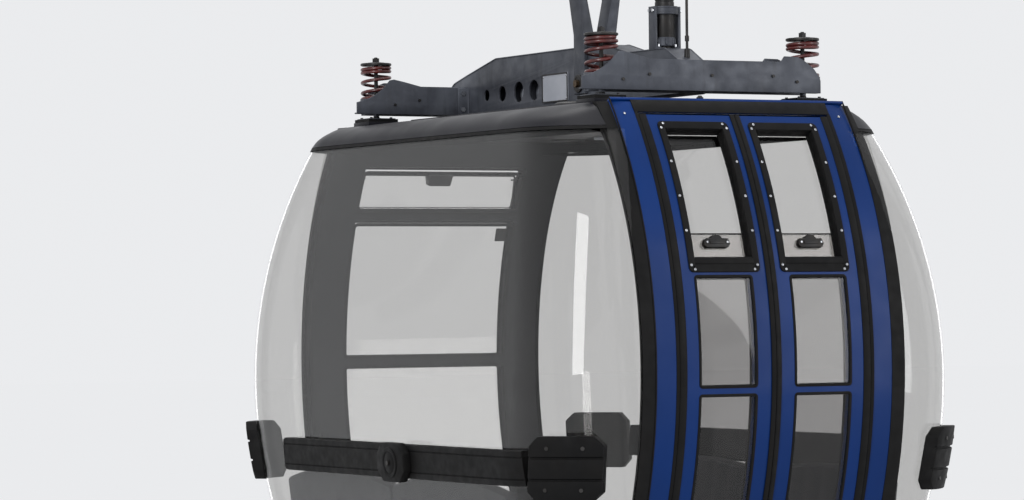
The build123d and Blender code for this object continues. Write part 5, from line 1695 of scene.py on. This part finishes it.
@dataclass
class Damper:
    """The sway damper in its bracket, the arm that holds its rod, and the door cable's fittings."""

    y: float = -0.56
    shelf: float = 0.178
    arm_rise: float = 0.56
    bracket_top: float = 0.316
    notches: int = 8
    notch_radius: float = 0.0325
    notch_half: float = 0.0032
    cable_y: float = -0.7
    eye_rise: float = 0.5475
    eye_radius: float = 0.012

    def strut(self) -> None:
        """The damper: a dark tube on a notched ring, with a bright rod into a clevis under the arm."""
        at = level(0.0, self.y, 0.0)
        tube_shape = [(0.0, self.shelf), (0.02, self.shelf), (0.02, 0.188), (0.024, 0.192), (0.024, 0.21),
                      (0.03, 0.211), (0.031, 0.214), (0.031, 0.33), (0.0295, 0.3315), (0.0295, 0.3345),
                      (0.031, 0.336), (0.031, 0.404), (0.0295, 0.4085), (0.023, 0.41), (0.0225, 0.418),
                      (0.019, 0.42), (0.015, 0.42), (0.0, 0.42)]
        fitted(turned("damper_tube", tube_shape, at, UP, 48), CABIN, "dark_steel", "sway_damper")
        rod = [(0.0, 0.415), (0.011, 0.415), (0.011, 0.524), (0.0165, 0.525), (0.0165, 0.542), (0.0, 0.542)]
        fitted(turned("damper_rod", rod, at, UP, 32), CABIN, "bright_steel")
        ring = [(0.0235, 0.188), (0.0318, 0.188), (0.0333, 0.19), (0.0333, 0.215), (0.0318, 0.217),
                (0.03, 0.217), (0.0235, 0.188)]
        pieces = [turned("ring", ring, at, UP, 48)]
        half = self.notch_half
        for number in range(self.notches):
            angle = FULL_TURN * (number + 0.5) / self.notches
            spot = at + Vector((math.cos(angle), math.sin(angle), 0.0)) * self.notch_radius
            pieces.append(box("notch", (spot.x - half, spot.x + half), (spot.y - half, spot.y + half), (0.192, 0.212),
                              0.001))
        for rise in (self.bracket_top - 0.0225, self.bracket_top - 0.0035):
            band = [(0.0425, rise - 0.003), (0.044, rise - 0.0022), (0.044, rise + 0.0022), (0.0425, rise + 0.003)]
            pieces.append(turned("band", band + [band[0]], at, UP, 48))
        for side in SIGNS:
            outline = [(self.y + u, rise) for u, rise in (
                (-0.018, self.arm_rise + 0.001), (0.018, self.arm_rise + 0.001), (0.018, 0.535), (0.01, 0.524),
                (-0.01, 0.524), (-0.018, 0.535),
            )]
            pieces.append(prism("cheek", outline, limits(side, 0.017, 0.0225), sideways, 0.001))
        group("damper_rings", pieces, CABIN, "zinc")
        pins = [(level(side * 0.0235, self.y, 0.541), Vector((side, 0, 0))) for side in SIGNS]
        fasteners("clevis_pins", pins, 0.008, Head.HEX, CABIN, "bright_steel")

    def bracket(self) -> None:
        """The bracket with rounded edges and its bolts."""
        fitted(softened("damper_cradle", "damper_bracket", 0.0012), CABIN, "zinc", "damper_bracket")
        spots = [(level(side * 0.0315, self.y + dy, 0.19), UP) for side in SIGNS for dy in (-0.012, 0.012)]
        spots += [(level(side * 0.049, self.y + dy, self.bracket_top - 0.013), Vector((side, 0, 0)))
                  for side in SIGNS for dy in (-0.011, 0.011)]
        fasteners("cradle_bolts", spots, 0.0058, Head.HEX, CABIN, "bright_steel")

    def arm(self) -> None:
        """The arm out of the hanger, its gusset, cap and welds."""
        fitted(softened("damper_beam", "damper_arm", 0.006, 3), CABIN, "zinc", "damper_arm")
        pieces = []
        outline = [(-0.15, self.arm_rise), (-0.15, 0.47), (-0.164, 0.47), (-0.3, 0.552),
                   (-0.3, self.arm_rise + 0.002)]
        pieces.append(prism("gusset", outline, (-0.005, 0.005), sideways, 0.001))
        pieces.append(box("end_cap", (-0.0275, 0.0275), (-0.73, -0.725), (self.arm_rise - 0.0025, 0.6125), 0.001))
        for x in (-0.024, 0.024):
            for rise in (self.arm_rise + 0.001, 0.609):
                pieces.append(tube("bead", [sideways(-0.157, rise, x), sideways(-0.163, rise, x)], 0.0032, 8))
        group("damper_arm_fittings", pieces, CABIN, "zinc")

    def cable(self) -> None:
        """The door cable's sleeves, thimble and eye bolt."""
        at = level(0.0, self.cable_y, 0.0)
        pieces = []
        for low, high in ((0.196, 0.214), (0.512, 0.535)):
            sleeve = [(0.0045, low), (0.0065, low), (0.007, low + 0.003), (0.007, high - 0.003), (0.0065, high),
                      (0.0045, high)]
            pieces.append(turned("sleeve", sleeve + [sleeve[0]], at, UP, 20))
        radius = self.eye_radius
        loop = [level(radius * math.sin(t), self.cable_y, self.eye_rise - radius * math.cos(t))
                for t in (FULL_TURN * step / 20 for step in range(21))]
        pieces.append(tube("eye", loop, 0.0032, 10))
        group("cable_fittings", pieces, CABIN, "dark_steel")

    def build(self) -> None:
        """Make every piece."""
        self.strut()
        self.bracket()
        self.arm()
        self.cable()


@dataclass
class Interior:
    """The fluted benches, the floor mat, the ceiling with its lights, and the grab rails."""

    seat_drop: float = 1.64
    seat_x: Pair = (0.246, 0.641)
    half: float = 0.796
    foot: float = 0.008
    flute: float = 0.0984
    groove: float = 0.006
    back_groove: float = 0.0055
    seat_steps: int = 132
    back_steps: int = 66
    back_rows: int = 9
    back_insets: Pair = (0.0305, 0.077)
    back_top: float = 1.175
    shoulder: float = 0.041
    floor_drop: float = 2.07
    ceiling_drop: float = 0.058
    leg_x: float = 0.4448
    leg_y: tuple[float, float, float] = (-0.6, 0.0, 0.6)
    light_x: float = 0.3
    light_half: float = 0.42
    vent_y: float = 0.64
    rail_x: float = 0.392
    rail_drops: Pair = (0.95, 1.55)
    mat: Four = (-0.236, 0.236, -0.735, 0.835)
    mat_ribs: int = 39
    rib_pitch: float = 0.012

    def ridge(self, y: float) -> float:
        """How far a flute stands out at a place along the bench, from 0 in a groove to 1."""
        return math.sqrt(abs(math.sin(math.pi * (y - self.groove) / self.flute)))

    def seat(self, side: int, name: str) -> bpy.types.Object:
        """One seat: dished, fluted and rolled over at the front."""
        front, back = self.seat_x
        top = -self.seat_drop
        section = [
            (back, -0.066, 0.0), (back, -0.008, 0.0), (back - 0.012, -0.0015, 0.2), (0.56, -0.006, 1.0),
            (0.48, -0.012, 1.0), (0.4, -0.013, 1.0), (0.33, -0.009, 1.0), (0.285, -0.004, 1.0),
            (front + 0.018, -0.006, 0.8), (front + 0.005, -0.016, 0.5), (front + 0.001, -0.032, 0.2),
            (front + 0.003, -0.052, 0.0), (front + 0.014, -0.066, 0.0),
        ]
        stations = []
        for step in range(self.seat_steps + 1):
            y = self.half * (2 * step / self.seat_steps - 1)
            rise = self.groove * (self.ridge(y) - 1.0)
            stations.append([level(side * x, y, top + low + rise * share) for x, low, share in section])
        return swept(f"fluted_seat_{name}", stations)

    def backrest(self, side: int, side_y: int) -> bpy.types.Object:
        """One backrest with an arched top and upright flutes."""
        outer, inner = self.back_insets
        stations = []
        for step in range(self.back_steps + 1):
            share = step / self.back_steps
            y = self.foot + (self.half - self.foot) * share
            top = self.back_top + self.shoulder * (2 * share - 1) ** 2
            sunk = self.back_groove * (1.0 - self.ridge(y))
            drops = [self.seat_drop - 0.0006 + (top + 0.014 - self.seat_drop) * row / self.back_rows
                     for row in range(self.back_rows + 1)]
            line = [(drop, outer) for drop in drops]
            line += [(top + 0.005, outer + 0.007), (top, outer + 0.018), (top, inner - 0.02),
                     (top + 0.006, inner - 0.008)]
            line += [(drop, inner - sunk) for drop in reversed(drops)]
            stations.append([Vector((side * WALL.half_at(WALL.end, drop, inset), side_y * y, ROOF_Z - drop))
                             for drop, inset in line])
        return swept("backrest", stations)

    def benches(self) -> None:
        """Both benches and the foot plates of their frames."""
        feet = []
        spots = []
        for side, name in SIDES:
            fitted(self.seat(side, name), CABIN, "seat_shell", f"seat_{name}")
            backs = [self.backrest(side, side_y) for side_y in SIGNS]
            group(f"fluted_backs_{name}", backs, CABIN, "seat_shell", f"backrests_{name}")
            middle, floor = side * self.leg_x, -self.floor_drop
            for y in self.leg_y:
                feet.append(box("foot", (middle - 0.045, middle + 0.045), (y - 0.034, y + 0.034),
                                (floor, floor + 0.005), 0.001))
                spots += [(level(middle + dx, y, floor + 0.008), UP) for dx in (-0.034, 0.034)]
        group("bench_feet", feet, CABIN, "pan_alloy")
        fasteners("bench_bolts", spots, 0.0075, Head.HEX, CABIN, "bright_steel")

    def ceiling(self) -> None:
        """The ceiling panel with two light strips and four round vents."""
        outline = round_rect((-0.58, 0.58, -0.905, 0.905), 0.26, 8)
        low = -self.ceiling_drop
        fitted(prism("ceiling_panel", outline, (low, low + 0.008), level, 0.002), CABIN, "anthracite_paint")
        strips = []
        vents = []
        for x in (-self.light_x, self.light_x):
            strip = round_rect((x - 0.028, x + 0.028, -self.light_half, self.light_half), 0.027, 6)
            strips.append(prism("strip", strip, (low - 0.01, low), level, 0.003))
            for y in (-self.vent_y, self.vent_y):
                rings = [(0.0, low - 0.004)]
                for radius in (0.012, 0.024, 0.036, 0.048):
                    rings += [(radius, low - 0.004), (radius + 0.001, low - 0.001), (radius + 0.004, low - 0.001),
                              (radius + 0.005, low - 0.004)]
                rings += [(0.06, low - 0.005), (0.063, low), (0.0, low)]
                vents.append(turned("vent", rings, level(x, y, 0.0), UP))
        group("light_strips", strips, CABIN, "plate_white")
        group("ceiling_vents", vents, CABIN, "dark_steel")

    def rails(self) -> None:
        """A bent grab rail inside each door pillar, on two flanges."""
        pieces = []
        high, low = self.rail_drops
        run = eased([(high, -0.046), (high, -0.092), (low, -0.092), (low, -0.046)], 0.03)
        for side in SIGNS:
            x = side * self.rail_x
            pieces.append(tube("rail", [WALL.on_side(x, drop, proud) for drop, proud in run], 0.0125, 16))
            for drop in self.rail_drops:
                flange = [(0.0, 0.0), (0.024, 0.0), (0.025, 0.003), (0.016, 0.008), (0.0125, 0.01), (0.0, 0.01)]
                pieces.append(turned("flange", flange, WALL.on_side(x, drop, -0.0455), -WALL.side_normal(drop), 28))
        group("grab_rails", pieces, CABIN, "bright_steel")

    def floor(self) -> None:
        """A ribbed mat between the benches."""
        top = -self.floor_drop
        fitted(box("floor_mat", self.mat[:2], self.mat[2:], (top, top + 0.003), 0.001), CABIN, "black_rubber")
        first = level(-0.228, 0.05, top + 0.0038)
        bars("mat_ribs", first, TO_RIGHT * self.rib_pitch, self.mat_ribs, Vector((0.005, 1.56, 0.002)), CABIN,
             "black_rubber")

    def build(self) -> None:
        """Make every piece."""
        self.benches()
        self.ceiling()
        self.rails()
        self.floor()


@dataclass
class Grip:
    """The grip's fittings: rounded castings, rollers with tyres and hubs, spring pots, nuts and ribs."""

    roller_x: float = 0.1
    roller_z: float = 0.192
    roller_y: Pair = (0.062, 0.098)
    roller_radius: float = 0.065
    back_y: float = 0.122
    ear_y: float = 0.118
    bolt_x: float = 0.1255
    bolt_z: Pair = (-0.118, -0.052)
    hub_bolts: int = 5
    pot_x: float = 0.092
    pot_ribs: int = 5
    rib_pitch: float = 0.0165

    def castings(self) -> None:
        """The body, the jaws and the lever, with their edges rounded."""
        for name, node, width in (
            ("grip_casting", "grip_body", 0.0035), ("fixed_jaw_casting", "jaw_fixed", 0.0025),
            ("moving_jaw_casting", "jaw_moving", 0.0025), ("lever_forging", "closing_lever", 0.003),
        ):
            fitted(softened(name, node, width, 3), GRIP, SLOTS[node], node)
        ribs = []
        for side in SIGNS:
            for x in (0.108, 0.136):
                ribs.append(box("rib", limits(side, x, x + 0.007), (self.back_y - 0.002, self.back_y + 0.006),
                                (-ROOF_Z - 0.138, -ROOF_Z + 0.004), 0.002))
        group("casting_ribs", ribs, GRIP, "grip_paint")
        spots = [(Vector((side * self.bolt_x, y, z)), Vector((0, facing, 0)))
                 for y, facing in ((self.back_y + 0.005, 1), (0.058, -1)) for side in SIGNS for z in self.bolt_z]
        fasteners("casting_bolts", spots, 0.0105, Head.HEX, GRIP, "bright_steel")

    def rollers(self) -> None:
        """The rollers: a tyre round a dished hub with five bolts, and the nuts of their axles."""
        low, high = self.roller_y
        width = high - low
        nuts = []
        for side, name in SIDES:
            foot = Vector((side * self.roller_x, low, self.roller_z))
            body = f"roller_{name}"
            r = self.roller_radius
            tyre = mirrored([(0.049, 0.002), (0.06, 0.0005), (r - 0.0022, 0.0022), (r, 0.006), (r, 0.015),
                             (r - 0.0012, 0.0165)], width)
            fitted(turned(f"tyre_{name}", tyre, foot, TO_BACK, 64), body, "roller_nylon", f"running_roller_{name}")
            hub = mirrored([(0.0124, 0.001), (0.021, 0.001), (0.0225, 0.003), (0.025, 0.0085), (0.042, 0.0085),
                            (0.045, 0.003), (0.0495, 0.0025)], width)
            fitted(turned(f"roller_hub_{name}", hub, foot, TO_BACK, 64), body, "roller_nylon")
            spots = []
            for number in range(self.hub_bolts):
                angle = FULL_TURN * number / self.hub_bolts + 0.3
                spoke = Vector((math.cos(angle), 0.0, math.sin(angle))) * 0.0335
                spots.append((foot + spoke + TO_BACK * 0.0095, -TO_BACK))
                spots.append((foot + spoke + TO_BACK * (width - 0.0095), TO_BACK))
            fasteners(f"hub_bolts_{name}", spots, 0.0048, Head.HEX, body, "bright_steel")
            nuts.append((Vector((side * self.roller_x, 0.043, self.roller_z)), -TO_BACK))
            nuts.append((Vector((side * self.roller_x, self.ear_y + 0.005, self.roller_z)), TO_BACK))
        fasteners("axle_nuts", nuts, 0.017, Head.HEX, GRIP, "bright_steel")

    def pots(self) -> None:
        """The two ribbed spring pots, with a bolt on each."""
        pots = []
        nuts = []
        for x in (-self.pot_x, self.pot_x):
            foot = Vector((x, self.back_y + 0.033, 0.012))
            shape = [(0.0, 0.0), (0.027, 0.0), (0.0315, 0.004)]
            for number in range(self.pot_ribs):
                at = 0.014 + self.rib_pitch * number
                shape += [(0.033, at), (0.033, at + 0.0085), (0.0295, at + 0.0105), (0.0295, at + 0.0145)]
            shape += [(0.0315, 0.0985), (0.027, 0.103), (0.0, 0.103)]
            pots.append(turned("pot", shape, foot, UP, 40))
            nuts.append((foot + UP * 0.108, UP))
        group("ribbed_pots", pots, GRIP, "dark_steel", "spring_pots")
        fasteners("pot_nuts", nuts, 0.013, Head.HEX, GRIP, "bright_steel")

    def build(self) -> None:
        """Make every piece."""
        self.castings()
        self.rollers()
        self.pots()


@dataclass
class Underfloor:
    """What hangs under the floor: bearers, the door shaft, and the flanges and clips of the arms' pins."""

    floor: float = -2.2
    skin: float = -2.094
    arm_x: float = 0.272
    arm_y: float = -0.7775
    spread: Pair = (0.14, -0.05)
    bearer_x: float = 0.26
    member_y: tuple[float, float, float] = (-0.5, 0.0, 0.5)
    shaft: Pair = (-0.6, -2.172)

    def frame_work(self) -> None:
        """Two bearers with three cross members and their bolts, in the pan's recess."""
        pieces = []
        spots = []
        down = Vector((0.0, 0.0, -1.0))
        for x in (-self.bearer_x, self.bearer_x):
            pieces.append(box("bearer", (x - 0.026, x + 0.026), (-0.665, 0.665), (-2.158, self.skin + 0.001), 0.003))
            for y in self.member_y:
                spots += [(level(x, y + dy, -2.161), down) for dy in (-0.045, 0.045)]
        for y in self.member_y:
            pieces.append(box("member", (-0.4, 0.4), (y - 0.02, y + 0.02), (-2.145, self.skin + 0.001), 0.003))
        group("floor_bearers", pieces, CABIN, "zinc")
        fasteners("bearer_bolts", spots, 0.008, Head.HEX, CABIN, "bright_steel")

    def door_gear(self) -> None:
        """The shaft that works both doors, on its blocks, with a lever and a rod each side."""
        pieces = [tube("shaft", [level(x, *self.shaft) for x in (-0.38, 0.38)], 0.011, 16)]
        for side in SIGNS:
            pieces.append(box("block", limits(side, 0.3, 0.335), (-0.622, -0.578), (-2.19, self.skin), 0.002))
            pieces.append(box("lever", limits(side, 0.205, 0.213), (-0.612, -0.52), (-2.188, -2.16), 0.002))
            rod = [level(side * 0.218, -0.53, -2.176), level(side * 0.218, -0.33, -2.168)]
            pieces.append(tube("rod", rod, 0.006, 12))
        group("door_gear", pieces, CABIN, "dark_steel")

    def pins(self) -> None:
        """A bolted flange on each bearing and a clip on each pin's end."""
        flanges = []
        clips = []
        bolts = []
        clip = [(0.0, -0.0012), (0.0125, -0.0012), (0.013, 0.0), (0.0125, 0.0012), (0.0, 0.0012)]
        for side in SIGNS:
            for dx, dy in ((0.0, 0.0), self.spread):
                x, y = side * (self.arm_x + dx), self.arm_y + dy
                ring = [(0.0215, -0.0055), (0.03, -0.0055), (0.033, -0.0035), (0.033, 0.0), (0.0215, 0.0)]
                flanges.append(turned("ring", ring + [ring[0]], level(x, y, self.floor), UP, 32))
                clips.append(turned("clip", clip, level(x, y, self.floor - 0.0432), UP, 24))
                bolts += [(level(x, y, self.floor - 0.0052) + Vector((math.cos(a), math.sin(a), 0.0)) * 0.0275, -UP)
                          for a in (0.8, 2.9, 5.0)]
        group("bearing_flanges", flanges, CABIN, "zinc")
        group("pin_clips", clips, CABIN, "bright_steel")
        fasteners("flange_screws", bolts, 0.003, Head.ROUND, CABIN, "bright_steel")

    def build(self) -> None:
        """Make every piece."""
        self.frame_work()
        self.door_gear()
        self.pins()


@dataclass
class RoofTop:
    """The roof's pressed ribs, its two round vent covers and a cable gland."""

    rib_x: Four = (-0.3, -0.16, 0.16, 0.3)
    rib_half: Pair = (0.017, 0.65)
    covers: tuple[Pair, Pair] = ((-0.23, -0.36), (0.23, 0.36))
    gland: Pair = (0.105, -0.6)

    def build(self) -> None:
        """Make every piece."""
        ribs = []
        half, reach = self.rib_half
        for x in self.rib_x:
            outline = round_rect((x - half, x + half, -reach, reach), 0.016, 6)
            ribs.append(prism("swage", outline, (-0.001, 0.0045), level, 0.002))
        group("roof_ribs", ribs, CABIN, "roof_grey")
        shape = [(0.0, 0.018), (0.03, 0.0175), (0.05, 0.015), (0.06, 0.01), (0.06, 0.006),
                 (0.048, 0.0055), (0.048, 0.003), (0.064, 0.0025), (0.065, -0.001), (0.0, -0.001)]
        covers = [turned("cover", shape, level(x, y, 0.0), UP, 40) for x, y in self.covers]
        gland = [(0.0, 0.03), (0.006, 0.03), (0.008, 0.026), (0.0115, 0.024), (0.0115, 0.012),
                 (0.016, 0.01), (0.016, 0.003), (0.02, 0.0), (0.0, -0.001)]
        covers.append(turned("gland", gland, level(*self.gland, 0.0), UP, 24))
        group("roof_covers", covers, CABIN, "dark_steel")


def main() -> None:
    """Build the studio and every sub-assembly in order."""
    logging.basicConfig(level=logging.INFO, format="%(name)s: %(message)s")
    leaves = [DoorLeaf(side, name) for side, name in SIDES]
    for assembly in (
        Studio(), CarriedOver(), RoofSprings(), Portal(), *leaves, BackWall(), Bumpers(), RoofFrame(), EndGlass(),
        RoofShell(), Hanger(), Damper(), Interior(), Grip(), Underfloor(), RoofTop(),
    ):
        assembly.build()


if __name__ == "__main__":
    main()
